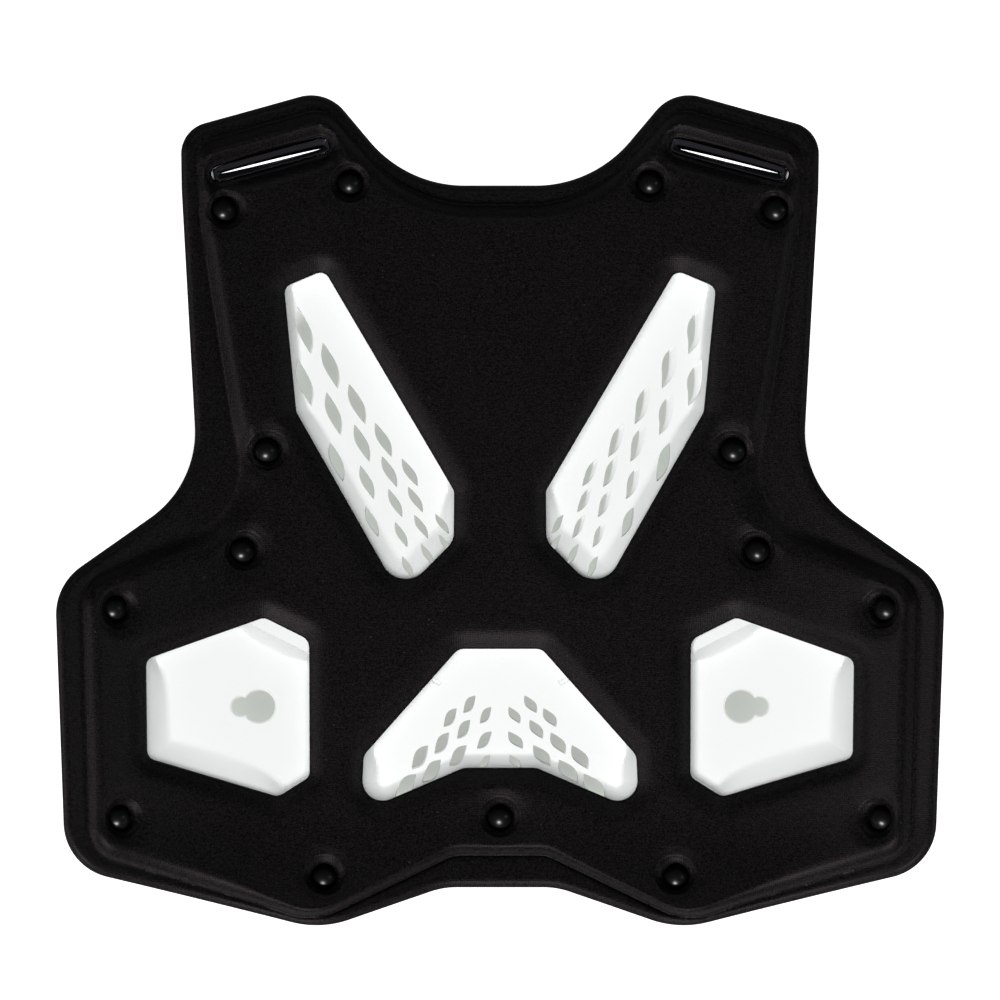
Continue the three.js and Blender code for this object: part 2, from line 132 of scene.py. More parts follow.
# Leaf-shaped vents by column: first leaf, step to the next one, how many, length of the first, how much
# each is shorter than the one before, and lean in degrees
DIAGONAL_VENTS = (
    (82.4, 75.8, -0.2, -22.2, 2, 17.0, 0.5, 16.0),
    (71.4, 60.9, -1.3, -20.2, 3, 16.5, 1.0, 18.0),
    (60.2, 44.7, -2.1, -16.5, 4, 15.0, 1.2, 22.0),
    (49.1, 29.5, -2.5, -13.3, 5, 13.0, 1.1, 26.0),
    (38.0, 15.8, -2.4, -11.4, 4, 11.0, 0.8, 30.0),
    (24.5, -5.7, -1.3, -8.4, 2, 8.5, 0.5, 34.0),
)
BELLY_VENTS = (
    (12.9, -81.9, 8.1, -5.6, 2, 8.0, -0.5, -34.0),
    (6.1, -86.5, 9.2, -5.9, 4, 7.5, -1.1, -34.0),
    (6.6, -97.0, 11.0, -6.4, 4, 8.5, -1.4, -40.0),
    (6.2, -105.8, 0.0, 0.0, 1, 6.5, 0.0, -40.0),
)

# Keyhole slots: entry hole, narrow end towards the wing's edge
KEYHOLE = {"x": 101.3, "y": -82.6, "entry": 6.7, "narrow": 3.9, "offset": 7.6}

# Strap eyelets in the shoulders: place, turn in degrees, and the slots round them
EYELET = {"x": 96.6, "y": 147.0, "turn": -15.5, "length": 50.2, "width": 6.3}
LINER_SLOT = {"length": 50.8, "width": 6.6}
SHELL_SLOT = {"length": 44.5, "width": 3.6}

# Rivets: name, x, y of the right-hand one of a pair
RIVET_PAIRS = (
    ("shoulder_outer", 114.3, 126.0),
    ("shoulder_inner", 62.7, 137.4),
    ("breast", 97.1, 24.9),
    ("armhole", 106.9, -17.1),
    ("wing_top", 158.5, -41.3),
    ("wing_bottom", 156.8, -128.8),
    ("hem", 73.5, -152.8),
)
CENTRE_RIVET = (0.0, -129.0)
LINER_RIVET_HOLE = 3.0
SHELL_RIVET_HOLE = 4.2

# How far the liner's underside lies below the body side
LINER_DEPTH = 10.0

# Fineness of the meshes, in millimetres
RIM_STEP = 1.7
LEAST_GAP = 0.42
LINER_PITCH = 3.4
SHELL_PITCH = 3.6
UNDERSIDE_PITCH = 9.0
RING_SLACK = 0.06
GRID_ACROSS = (-190.0, 192.0)
GRID_UPWARD = (-180.0, 182.0)

# Room that the grid keeps from other points, as a share of its pitch
FACE_ROOM = 0.62
UNDERSIDE_ROOM = 0.6

# Reach within which distances are measured, and how many places are measured at a time
NEAR = 20.0
CHUNK = 3000

# Points round a rivet's hole, on the rings of the underside and round both ends of a keyhole
HOLE_POINTS = 24
RING_POINTS = 20
ENTRY_POINTS = 44
NARROW_POINTS = 20

# Rings of points beside the features: distance from an edge, or radius round a rivet or a mark
FLANGE_RINGS = (0.3, 0.7, 1.2, 1.9, 2.8, 4.2, 6.0)
PAD_RINGS = (-2.6, -1.7, -1.1, -0.6, -0.25, 0.1, 0.6, 1.2, 1.9, 2.8, 3.8, 5.0, 6.4, 8.2)
WINDOW_RINGS = (-0.3, -0.7, -1.2, -1.7, -2.2, -2.8, -3.6, -4.6, -5.8, -7.2, -9.0)
WELL_RINGS = (4.2, 5.15, 5.5, 5.75, 6.0, 6.3, 6.9, 7.5, 7.9)
DISH_RINGS = (8.05, 8.2, 8.35, 8.5, 8.9, 9.5, 10.4, 11.5, 12.8)
UNDERSIDE_RINGS = (5.0, 8.0, 12.0)
BULGE_RINGS = (*np.arange(-3.5, 7.0, 0.7), *np.arange(7.0, 15.5, 1.2))
EDGE_RINGS = (0.3, 0.7, 1.3)
PIN_RINGS = (2.9, 3.3, 3.6, 3.8, 4.0, 4.3, 4.7)

# Angles in degrees beyond which an edge stays sharp
SHARP = {"liner": 55.0, "shell": 38.0, "rivets": 40.0, "eyelets": 50.0}


# Curved surface
def arc_rise(distance, radius):
    reach = np.maximum(0.0, distance)
    return radius - np.sqrt(radius * radius - reach * reach)


def arc_slope(distance, radius):
    reach = np.maximum(0.0, distance)
    return reach / np.sqrt(radius * radius - reach * reach)


def face_height(places):
    """Height of the body side over places seen from above."""
    across = np.abs(places[:, 0])
    wing = arc_rise(across - WING_START, WING_RADIUS)
    hem = arc_rise(-places[:, 1] - HEM_START, HEM_RADIUS)
    return FACE_HEIGHT + arc_rise(across, CROWN_RADIUS) + wing + hem


def face_normals(places):
    across = np.abs(places[:, 0])
    sideways = arc_slope(across, CROWN_RADIUS) + arc_slope(across - WING_START, WING_RADIUS)
    slope_y = arc_slope(-places[:, 1] - HEM_START, HEM_RADIUS)
    normals = np.stack([-np.sign(places[:, 0]) * sideways, slope_y, np.ones(len(places))], 1)
    return normals / np.linalg.norm(normals, axis=1, keepdims=True)


def at_level(places, level):
    """Points that far above the body side, counted along its normal but moved straight up."""
    height = face_height(places) + level / face_normals(places)[:, 2]
    return np.column_stack([places, height])


def smooth(share):
    clamped = np.clip(share, 0.0, 1.0)
    return clamped * clamped * (3.0 - 2.0 * clamped)


def fading(distance, start, width):
    """1 up to a start, then falling smoothly to 0 over a width."""
    return 1.0 - smooth((distance - start) / width)


def band(distance, middle, width):
    """1 at a middle distance, falling off on both sides of it."""
    return np.exp(-(((distance - middle) / width) ** 2))


def creased(share, power):
    """A change from 0 to 1 that starts with a crease, runs almost straight and eases at its end."""
    return 1.0 - (1.0 - np.clip(share, 0.0, 1.0)) ** power


def edge_drop(distance, radius):
    """How far a rounded edge falls below its surface, at a distance inside the edge."""
    share = np.clip(distance / radius, 0.0, 1.0)
    return radius * (np.sqrt(1.0 - (1.0 - share) ** 2) - 1.0)


# Outlines seen from above
class Loop:
    """A closed outline in millimetres, run counterclockwise."""

    def __init__(self, points):
        self.points = np.asarray(points, float)
        self.ahead = np.roll(self.points, -1, axis=0) - self.points
        self.squared = (self.ahead**2).sum(1)

    def depth(self, places):
        """Distance of each place inside the outline, negative outside."""
        depths = np.empty(len(places))
        for start in range(0, len(places), CHUNK):
            part = places[start : start + CHUNK]
            away = part[:, None] - self.points[None]
            share = np.clip((away * self.ahead).sum(2) / self.squared, 0.0, 1.0)
            gap = away - share[..., None] * self.ahead
            squared = (gap**2).sum(2)
            nearest = squared.argmin(1)
            rows = np.arange(len(part))
            along = self.ahead[nearest]
            offset = away[rows, nearest]
            side = along[:, 0] * offset[:, 1] - along[:, 1] * offset[:, 0]
            depths[start : start + CHUNK] = np.sqrt(squared[rows, nearest]) * np.sign(side)
        return depths

    def depth_near(self, places):
        """Like depth, but places far from the outline's box count as far outside."""
        low = self.points.min(0) - NEAR
        high = self.points.max(0) + NEAR
        near = ((places > low) & (places < high)).all(1)
        depths = np.full(len(places), -NEAR)
        if near.any():
            depths[near] = self.depth(places[near])
        return depths

    def ring(self, distance):
        """Points of the outline moved inwards, without those that come too near another stretch of it."""
        tangent = np.roll(self.points, -1, axis=0) - np.roll(self.points, 1, axis=0)
        tangent = tangent / np.linalg.norm(tangent, axis=1, keepdims=True)
        moved = self.points + np.column_stack([-tangent[:, 1], tangent[:, 0]]) * distance
        return moved[np.abs(self.depth(moved) - distance) < RING_SLACK]


def unit(vector):
    return vector / np.linalg.norm(vector)


def cross(first, second):
    return first[0] * second[1] - first[1] * second[0]


def signed_area(corners):
    after = [*corners[1:], corners[0]]
    return sum(cross(a, b) for a, b in zip(corners, after)) / 2


def both_halves(half):
    return [*half, *((-x, y, r) for x, y, r in reversed(half))]


def on_circle(radius, angles):
    return radius * np.column_stack([np.cos(angles), np.sin(angles)])


def turned(points, angle):
    """Points turned counterclockwise about the origin."""
    rotation = np.array([[math.cos(angle), math.sin(angle)], [-math.sin(angle), math.cos(angle)]])
    return points @ rotation


def inset(corners, distances):
    """Moves each edge inwards by its own distance and finds the corners again."""
    inward = math.copysign(1.0, signed_area(corners))
    places = [np.array(corner[:2]) for corner in corners]
    edges = []
    for i, place in enumerate(places):
        along = unit(places[(i + 1) % len(places)] - place)
        edges.append((place + np.array([-along[1], along[0]]) * inward * distances[i], along))
    moved = []
    for i, corner in enumerate(corners):
        start, along = edges[i - 1]
        next_start, next_along = edges[i]
        turn = cross(along, next_along)
        place = start + along * cross(next_start - start, next_along) / turn
        shrink = math.copysign(1.0, turn) * inward * min(distances[i - 1], distances[i])
        moved.append((place[0], place[1], max(1.0, corner[2] - shrink)))
    return moved


def rounded(corners, step=RIM_STEP):
    """A loop through corners rounded by arcs, with points about one step apart."""
    ordered = list(corners) if signed_area(corners) > 0 else list(reversed(corners))
    places = [np.array(corner[:2]) for corner in ordered]
    arcs = []
    for i, here in enumerate(places):
        radius = ordered[i][2]
        arriving = unit(here - places[i - 1])
        leaving = unit(places[(i + 1) % len(places)] - here)
        turn = math.atan2(cross(arriving, leaving), arriving @ leaving)
        side = math.copysign(1.0, turn)
        start = here - arriving * radius * math.tan(abs(turn) / 2)
        centre = start + np.array([-arriving[1], arriving[0]]) * side * radius
        first = math.atan2(*(start - centre)[::-1])
        count = max(3, math.ceil(radius * abs(turn) / step))
        arcs.append(centre + on_circle(radius, first + np.linspace(0.0, turn, count + 1)))
    points = []
    for i, arc in enumerate(arcs):
        last = arcs[i - 1][-1]
        count = max(1, round(np.linalg.norm(arc[0] - last) / step))
        shares = np.linspace(0.0, 1.0, count + 1)[1:-1, None]
        points.append(last + (arc[0] - last) * shares)
        points.append(arc)
    return Loop(np.concatenate(points))


def mirrored(loop):
    return Loop(loop.points[::-1] * (-1.0, 1.0))


def slot_loop(side, length, width):
    """A round-ended slot over an eyelet's place."""
    straight = length / 2 - width / 2
    radius = width / 2
    count = max(8, math.ceil(math.pi * radius / RIM_STEP * 2))
    end = on_circle(radius, np.linspace(-math.pi / 2, math.pi / 2, count)) + (straight, 0.0)
    steps = np.linspace(straight, -straight, round(2 * straight / RIM_STEP))[1:-1]
    edge = np.column_stack([steps, np.full(len(steps), radius)])
    half = np.concatenate([end, edge])
    points = turned(np.concatenate([half, -half]), side * math.radians(EYELET["turn"]))
    return Loop(points + (side * EYELET["x"], EYELET["y"]))


def keyhole_loop():
    """Outline of the right-hand keyhole: its entry and its narrow end as one."""
    entry, narrow, offset = KEYHOLE["entry"], KEYHOLE["narrow"], KEYHOLE["offset"]
    reach = (offset**2 + entry**2 - narrow**2) / (2 * offset)
    half = math.sqrt(entry**2 - reach**2)
    opening = math.atan2(half, reach)
    neck = math.atan2(half, reach - offset)
    circle = on_circle(entry, np.linspace(opening, 2 * math.pi - opening, ENTRY_POINTS))
    end = on_circle(narrow, np.linspace(-neck, neck, NARROW_POINTS)[1:-1]) + (offset, 0.0)
    return Loop(np.concatenate([circle, end]) + (KEYHOLE["x"], KEYHOLE["y"]))


def rivet_places():
    """Name and plan position of every rivet."""
    places = {"rivet_centre": CENTRE_RIVET}
    for name, x, y in RIVET_PAIRS:
        places[f"rivet_{name}_left"] = (-x, y)
        places[f"rivet_{name}_right"] = (x, y)
    return places


RIVETS = rivet_places()
RIVET_PLAN = np.array(list(RIVETS.values()))
RIVET_SEATS = at_level(RIVET_PLAN, 0.0)
RIVET_AXES = face_normals(RIVET_PLAN)


def rivet_ring(index, radius, depth=0.0, count=None):
    """Plan of a circle round a rivet's axis, that far below the body side."""
    axis = RIVET_AXES[index]
    across = unit(np.cross((0.0, 1.0, 0.0), axis))
    upward = np.cross(axis, across)
    angles = np.linspace(0.0, 2 * math.pi, count or max(18, round(radius * 5)), endpoint=False)
    circle = np.outer(np.cos(angles), across) + np.outer(np.sin(angles), upward)
    return (RIVET_SEATS[index] - axis * depth + circle * radius)[:, :2]


RIGHT_WINDOWS = [rounded(window) for window in (DIAGONAL_WINDOW, SIDE_WINDOW)]
WINDOWS = [*RIGHT_WINDOWS, *(mirrored(loop) for loop in RIGHT_WINDOWS), rounded(BELLY_WINDOW)]


# Meshes
def hex_grid(pitch):
    """Points of a hexagonal grid over the whole part."""
    rows = np.arange(*GRID_UPWARD, pitch * math.sqrt(3) / 2)
    columns = np.arange(*GRID_ACROSS, pitch)
    x, y = np.meshgrid(columns, rows)
    x[1::2] += pitch / 2
    return np.column_stack([x.ravel(), y.ravel()])


class Crowd:
    """Points sorted into square cells, so that the near ones are found quickly."""

    def __init__(self, least):
        self.least = least
        self.cells = {}

    def cell(self, x, y):
        return math.floor(x / self.least), math.floor(y / self.least)

    def add(self, x, y):
        self.cells.setdefault(self.cell(x, y), []).append((x, y))

    def has_room(self, x, y):
        """Whether no point of the crowd is nearer than the least distance."""
        column, row = self.cell(x, y)
        around = [(column + i, row + j) for i in (-1, 0, 1) for j in (-1, 0, 1)]
        near = [point for cell in around for point in self.cells.get(cell, ())]
        return all((x - px) ** 2 + (y - py) ** 2 >= self.least * self.least for px, py in near)


def spaced(points, least):
    """The points in order, without those nearer than least to an earlier one."""
    crowd = Crowd(least)
    kept = []
    for x, y in points:
        if crowd.has_room(x, y):
            crowd.add(x, y)
            kept.append((x, y))
    return np.array(kept)


def sheet_plan(loops, groups, pitch, room):
    """Points and triangles between an outer loop and holes: points of features first, then a plain grid."""
    rims = np.concatenate([loop.points for loop in loops])
    features = spaced(np.concatenate([rims, *groups]), LEAST_GAP)[len(rims) :]
    crowd = Crowd(pitch * room)
    for x, y in np.concatenate([rims, features]):
        crowd.add(x, y)
    grid = [(x, y) for x, y in hex_grid(pitch) if crowd.has_room(x, y)]
    points = np.concatenate([features, grid])
    inside = loops[0].depth(points) > LEAST_GAP / 2
    for hole in loops[1:]:
        inside &= hole.depth_near(points) < -LEAST_GAP / 2
    return triangulated(loops, points[inside])


def triangulated(loops, inner):
    """Plan points, the loops' first, and counterclockwise triangles between the outer loop and the holes."""
    points = np.concatenate([*(loop.points for loop in loops), inner])
    edges = []
    outer_sides = []
    for loop in loops:
        count = len(loop.points)
        start = len(edges)
        around = [(start + i, start + (i + 1) % count) for i in range(count)]
        outer_sides += around if start else [(b, a) for a, b in around]
        edges += around
    faces = delaunay_2d_cdt([Vector(point) for point in points], edges, [], 0, 1e-7)[2]
    return points, np.array(without_outside(faces, edges, outer_sides))


def without_outside(faces, edges, outer_sides):
    """Drops the triangles that can be reached from the loops' outer sides without crossing a loop."""
    owner = {}
    for index, (a, b, c) in enumerate(faces):
        owner[a, b] = owner[b, c] = owner[c, a] = index
    walls = {*edges, *((b, a) for a, b in edges)}
    waiting = [owner[side] for side in outer_sides if side in owner]
    gone = set()
    while waiting:
        index = waiting.pop()
        if index in gone:
            continue
        gone.add(index)
        a, b, c = faces[index]
        waiting += [owner[side] for side in ((b, a), (c, b), (a, c)) if side in owner and side not in walls]
    return [face for index, face in enumerate(faces) if index not in gone]


def closed_mesh(name, loops, top, top_faces, bottom, bottom_faces):
    """A mesh of an upper and a lower sheet over the same loops, joined by walls along them."""
    count = len(top)
    faces = [top_faces.tolist(), (bottom_faces[:, ::-1] + count).tolist()]
    start = 0
    for index, loop in enumerate(loops):
        size = len(loop.points)
        here = start + np.arange(size)
        after = start + (np.arange(size) + 1) % size
        wall = np.column_stack([here + count, after + count, after, here])
        faces.append((wall if index == 0 else wall[:, ::-1]).tolist())
        start += size
    corners = np.concatenate([top, bottom]) * MM
    mesh = bpy.data.meshes.new(name)
    mesh.from_pydata(corners.tolist(), [], [face for group in faces for face in group])
    mesh.validate()
    return mesh


def finished(mesh, sharp_degrees):
    mesh.shade_smooth()
    mesh.set_sharp_from_angle(angle=math.radians(sharp_degrees))
    return mesh


def add_piece(name, mesh, material, nodes):
    """An object at the origin that rides on the body and stands for CAD nodes."""
    mesh.materials.clear()
    mesh.materials.append(material)
    piece = bpy.data.objects.new(name, mesh)
    bpy.context.scene.collection.objects.link(piece)
    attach(piece, BODY)
    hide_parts(*nodes)
    return piece


# Node trees
class Value:
    """A socket of a node tree that takes part in Python expressions."""

    def __init__(self, graph, socket):
        self.graph = graph
        self.socket = socket

    def maths(self, operation, *others):
        return self.graph.node("ShaderNodeMath", {"operation": operation}, [self, *others])

    def __add__(self, other):
        return self.maths("ADD", other)

    __radd__ = __add__

    def __sub__(self, other):
        return self.maths("SUBTRACT", other)

    def __rsub__(self, other):
        return self.graph.node("ShaderNodeMath", {"operation": "SUBTRACT"}, [other, self])

    def __mul__(self, other):
        return self.maths("MULTIPLY", other)

    __rmul__ = __mul__

    def __truediv__(self, other):
        return self.maths("DIVIDE", other)

    def __pow__(self, other):
        return self.maths("POWER", other)

    def clamped(self):
        return self.graph.node("ShaderNodeMath", {"operation": "ADD", "use_clamp": True}, [self, 0.0])


class Graph:
    """Adds nodes to a tree from their type, settings and socket values."""

    def __init__(self, tree):
        self.tree = tree

    def node(self, kind, settings=None, inputs=(), output=0):
        made = self.tree.nodes.new(kind)
        for key, value in (settings or {}).items():
            setattr(made, key, value)
        pairs = inputs.items() if isinstance(inputs, dict) else enumerate(inputs)
        for key, value in pairs:
            self.plug(value, made.inputs[key])
        return Value(self, made.outputs[output]) if made.outputs else made

    def plug(self, value, socket):
        if isinstance(value, Value):
            self.tree.links.new(value.socket, socket)
        else:
            socket.default_value = value

    def other_output(self, value, name):
        return Value(self, value.socket.node.outputs[name])


class Surface(Graph):
    """A material's nodes, with what most finishes need."""

    def __init__(self, name):
        self.material = bpy.data.materials.new(name)
        self.material.use_nodes = True
        super().__init__(self.material.node_tree)
        self.tree.nodes.clear()
        self.place = self.node("ShaderNodeTexCoord", output="Object")

    def noise(self, scale, detail=2.0, roughness=0.5, stretch=(1.0, 1.0, 1.0)):
        moved = self.node("ShaderNodeMapping", {}, {"Vector": self.place, "Scale": stretch})
        sockets = {"Vector": moved, "Scale": scale, "Detail": detail, "Roughness": roughness}
        return self.node("ShaderNodeTexNoise", {}, sockets)

    def between(self, factor, first, second):
        sockets = {"Factor": factor, 6: first, 7: second}
        return self.node("ShaderNodeMix", {"data_type": "RGBA"}, sockets, output=2)

    def bump(self, height, strength, distance):
        return self.node("ShaderNodeBump", {}, {"Height": height, "Strength": strength, "Distance": distance})

    def finish(self, sockets):
        shader = self.node("ShaderNodeBsdfPrincipled", {}, sockets)
        self.node("ShaderNodeOutputMaterial", {}, {"Surface": shader})
        return self.material


def scaled(colour, factor):
    return (*(channel * factor for channel in colour), 1.0)


# The knit's stitches in millimetres, and how many times as bright as its colour its yarns are and its painted
# highlight is
STITCH = {"wale": 0.95, "course": 0.8, "wander": 1.6}
YARN = {"deep": 0.08, "raised": 2.9, "painted_highlight": 7.5, "lint": 11.0}

# The patch of painted shadow on the floor under the part, in metres: half its width at the chest, what the
# wings add to it and where they start, and its reach up and down. Past that reach times the last value it
# clears
SHADOW_PATCH = {"chest": 0.113, "wings": 0.035, "start": -0.03, "up": 0.105, "down": 0.125, "clear": 1.05}

# How fast the wings widen the patch and it clears, and how much paler its colour is than its light
SHADOW_PATCH_RATES = {"wings": -33.0, "clear": 5.0, "tint": 1.7}


def knit_fabric(colour):
    """Fine black jersey bonded to the foam: wales and courses, stray fibres, a dry sheen, and a painted
    highlight along the edges that the hem-side light catches.
    """
    surface = Surface("knit_fabric")
    split = surface.node("ShaderNodeSeparateXYZ", {}, [surface.place])
    x = surface.other_output(split, "X")
    y = surface.other_output(split, "Y")
    turn = 2 * math.pi / MM
    wander = surface.noise(330.0, 2.0, 0.5) * (STITCH["wander"] * MM)
    wale = ((x + wander) * (turn / STITCH["wale"])).maths("SINE")
    course = ((y + wander) * (turn / STITCH["course"])).maths("SINE")
    grain = surface.noise(1500.0, 2.0, 0.6)
    fibres = surface.noise(520.0, 2.0, 0.5, (1.0, 2.2, 1.0))
    height = wale * 0.07 + course * 0.07 + grain * 0.9
    worn = surface.noise(38.0, 3.0, 0.55)
    fleck = (grain * 0.72 + fibres * 0.28 - 0.41) * 5.2
    tone = (fleck.clamped() * 0.88 + worn * 0.12).clamped()
    cloth = surface.between(tone, scaled(colour, YARN["deep"]), scaled(colour, YARN["raised"]))
    # Painted highlight: the knit is made paler where the light from the hem's side catches the flange, the
    # pad's foot and the windows' rims
    painted_highlight = surface.node("ShaderNodeAttribute", {"attribute_name": "painted_highlight"}, output="Fac")
    paler = surface.between(painted_highlight * (0.35 + tone * 1.1), cloth, scaled(colour, YARN["painted_highlight"]))
    lint = ((surface.noise(760.0, 1.0, 0.4) - 0.77) * 26.0).clamped()
    base = surface.between(lint, paler, scaled(colour, YARN["lint"]))
    roughness = 0.34 + worn * 0.08 + grain * 0.14
    return surface.finish(
        {
            "Base Color": base,
            "Roughness": roughness,
            "Specular IOR Level": 0.028,
            "Specular Tint": (1.0, 0.9, 0.93, 1.0),
            "Normal": surface.bump(height, 0.7, 0.00022),
        }
    )


def moulded_plastic(colour, roughness):
    """Satin white polypropylene with a fine mould texture and faint flow marks."""
    surface = Surface("moulded_plastic")
    cloud = surface.noise(22.0, 3.0, 0.5)
    grain = surface.noise(2600.0, 2.0, 0.5)
    base = surface.between(cloud, scaled(colour, 0.985), scaled(colour, 1.01))
    rough = roughness + (cloud - 0.5) * 0.1
    return surface.finish(
        {
            "Base Color": base,
            "Roughness": rough,
            "Specular IOR Level": 0.16,
            "Normal": surface.bump(grain, 0.12, 0.00008),
        }
    )


def dark_plastic(name, colour, roughness):
    """Black moulded plastic with fine handling scuffs."""
    surface = Surface(name)
    cloud = surface.noise(180.0, 3.0, 0.55)
    scuffs = surface.noise(900.0, 2.0, 0.6, (1.0, 6.0, 2.0))
    base = surface.between(cloud, scaled(colour, 0.85), scaled(colour, 1.2))
    rough = roughness + (scuffs - 0.5) * 0.16 + (cloud - 0.5) * 0.06
    return surface.finish(
        {
            "Base Color": base,
            "Roughness": rough,
            "Specular IOR Level": 0.13,
            "Normal": surface.bump(scuffs, 0.06, 0.00006),
        }
    )


def pale_floor(colour, glow, shade):
    """A pale floor lit from within like a light table, with a painted shadow under the part: dimmer there
    than round it.
    """
    surface = Surface("pale_floor")
    cloud = surface.noise(3.0, 2.0, 0.5)
    split = surface.node("ShaderNodeSeparateXYZ", {}, [surface.place])
    y = surface.other_output(split, "Y")
    wing = ((y - SHADOW_PATCH["start"]) * SHADOW_PATCH_RATES["wings"]).clamped() * SHADOW_PATCH["wings"] + SHADOW_PATCH["chest"]
    x = surface.other_output(split, "X") / wing
    y = (y / SHADOW_PATCH["up"]).maths("MAXIMUM", y / -SHADOW_PATCH["down"])
    clear = (((x * x + y * y).maths("SQRT") - SHADOW_PATCH["clear"]) * SHADOW_PATCH_RATES["clear"]).clamped()
    pale = surface.between(cloud, scaled(colour, 0.99), scaled(colour, 1.0))
    # Painted shadow: under the part the floor takes a darker colour and a weaker glow
    base = surface.between(clear, scaled(shade, SHADOW_PATCH_RATES["tint"]), pale)
    light = surface.between(clear, scaled(shade, 1.0), scaled(colour, glow))
    return surface.finish(
        {"Base Color": base, "Roughness": 0.7, "Emission Color": light, "Emission Strength": 1.0}
    )


class PieceTree(Graph):
    """A geometry tree with named inputs, whose result is made real and painted."""

    def __init__(self, name, kinds):
        super().__init__(bpy.data.node_groups.new(name, "GeometryNodeTree"))
        sockets = self.tree.interface
        sockets.new_socket("Geometry", in_out="OUTPUT", socket_type="NodeSocketGeometry")
        for label, kind in {"Geometry": "Geometry", **kinds, "Material": "Material"}.items():
            sockets.new_socket(label, in_out="INPUT", socket_type=f"NodeSocket{kind}")
        entry = self.tree.nodes.new("NodeGroupInput")
        self.values = {socket.name: Value(self, socket) for socket in entry.outputs if socket.name}

    def attribute(self, name, kind="FLOAT"):
        return self.node("GeometryNodeInputNamedAttribute", {"data_type": kind}, {"Name": name})

    def cylinder(self, sides, segments, fill):
        """An upright cylinder, with x, y and the share of its height at each of its points."""
        sockets = {"Vertices": sides, "Side Segments": segments, "Radius": 1.0, "Depth": 1.0}
        body = self.node("GeometryNodeMeshCylinder", {"fill_type": fill}, sockets)
        split = self.node("ShaderNodeSeparateXYZ", {}, [self.node("GeometryNodeInputPosition")])
        x, y, z = (self.other_output(split, axis) for axis in "XYZ")
        return body, x, y, z + 0.5

    def moved(self, geometry, sockets):
        return self.node("GeometryNodeSetPosition", {}, {"Geometry": geometry, **sockets})

    def spread(self, points, shape, sockets):
        """Copies of a shape on points, made real."""
        sockets = {"Points": points, "Instance": shape, **sockets}
        copies = self.node("GeometryNodeInstanceOnPoints", {}, sockets)
        return self.node("GeometryNodeRealizeInstances", {}, [copies])

    def finish(self, geometry):
        real = self.node("GeometryNodeRealizeInstances", {}, [geometry])
        sockets = {"Geometry": real, "Material": self.values["Material"]}
        painted = self.node("GeometryNodeSetMaterial", {}, sockets)
        self.plug(painted, self.tree.nodes.new("NodeGroupOutput").inputs[0])
        return self.tree


def baked(holder, tree, values):
    """The plain mesh that a tree makes from an object, with the tree's inputs set by name."""
    modifier = holder.modifiers.new(tree.name, "NODES")
    modifier.node_group = tree
    for item in tree.interface.items_tree:
        if item.in_out == "INPUT" and item.name in values:
            modifier[item.identifier] = values[item.name]
    evaluated = holder.evaluated_get(bpy.context.evaluated_depsgraph_get())
    mesh = bpy.data.meshes.new_from_object(evaluated)
    holder.modifiers.remove(modifier)
    return mesh


def point_holder(name, points, attributes):
    """An object of loose points in millimetres with an attribute on each: name, type and values."""
    mesh = bpy.data.meshes.new(name)
    mesh.from_pydata((np.asarray(points) * MM).tolist(), [], [])
    for label, kind, values in attributes:
        key = "vector" if kind == "FLOAT_VECTOR" else "value"
        layer = mesh.attributes.new(label, kind, "POINT")
        layer.data.foreach_set(key, np.asarray(values, np.float32).ravel())
    holder = bpy.data.objects.new(name, mesh)
    bpy.context.scene.collection.objects.link(holder)
    return holder


def discard(holder):
    mesh = holder.data
    bpy.data.objects.remove(holder)
    bpy.data.meshes.remove(mesh)


def piecewise(share, knots):
    """A value that runs straight from knot to knot as share grows: pairs of share and value."""
    total = knots[0][1]
    for (start, before), (end, after) in zip(knots, knots[1:]):
        total = total + ((share - start) / (end - start)).clamped() * (after - before)
    return total


def rivet_tree():
    """Snap rivets on points: a dome, its shank and its tail turned about each point's axis."""
    sizes = ("Dome radius", "Dome height", "Seat", "Shank radius", "Tail radius", "Tail top", "Tail height")
    tree = PieceTree("rivets", dict.fromkeys(sizes, "Float"))
    dome, rise, seat, shank, tail, tail_top, tail_height = (tree.values[label] for label in sizes)
    body, x, y, share = tree.cylinder(36, 50, "TRIANGLE_FAN")
    tail_low = tail_top - tail_height
    # Share of the cylinder's height, with the radius and the height that it gets, from the tail to the dome
    profile = (
        (0.0, tail * 0.8, tail_low),
        (0.06, tail, tail_low + tail_height * 0.3),
        (0.16, tail, tail_top - tail_height * 0.15),
        (0.2, tail * 0.94, tail_top),
        (0.26, shank, tail_top),
        (0.4, shank, seat),
        (0.44, dome * 0.93, seat),
        (0.5, dome, seat + rise * 0.12),
    )
    radius = piecewise(share, [(start, wide) for start, wide, _ in profile])
    height = piecewise(share, [(start, level) for start, _, level in profile])
    angle = ((share - 0.5) * 2.0).clamped() * (math.pi / 2 * 0.985)
    radius = radius * angle.maths("COSINE")
    height = height + angle.maths("SINE") ** 1.45 * rise * 0.88
    place = tree.node("ShaderNodeCombineXYZ", {}, [x * radius, y * radius, height])
    rivet = tree.moved(body, {"Position": place})
    sockets = {"Vector": tree.attribute("axis", "FLOAT_VECTOR")}
    rotation = tree.node("FunctionNodeAlignRotationToVector", {"axis": "Z"}, sockets)
    return tree.finish(tree.spread(tree.values["Geometry"], rivet, {"Rotation": rotation}))


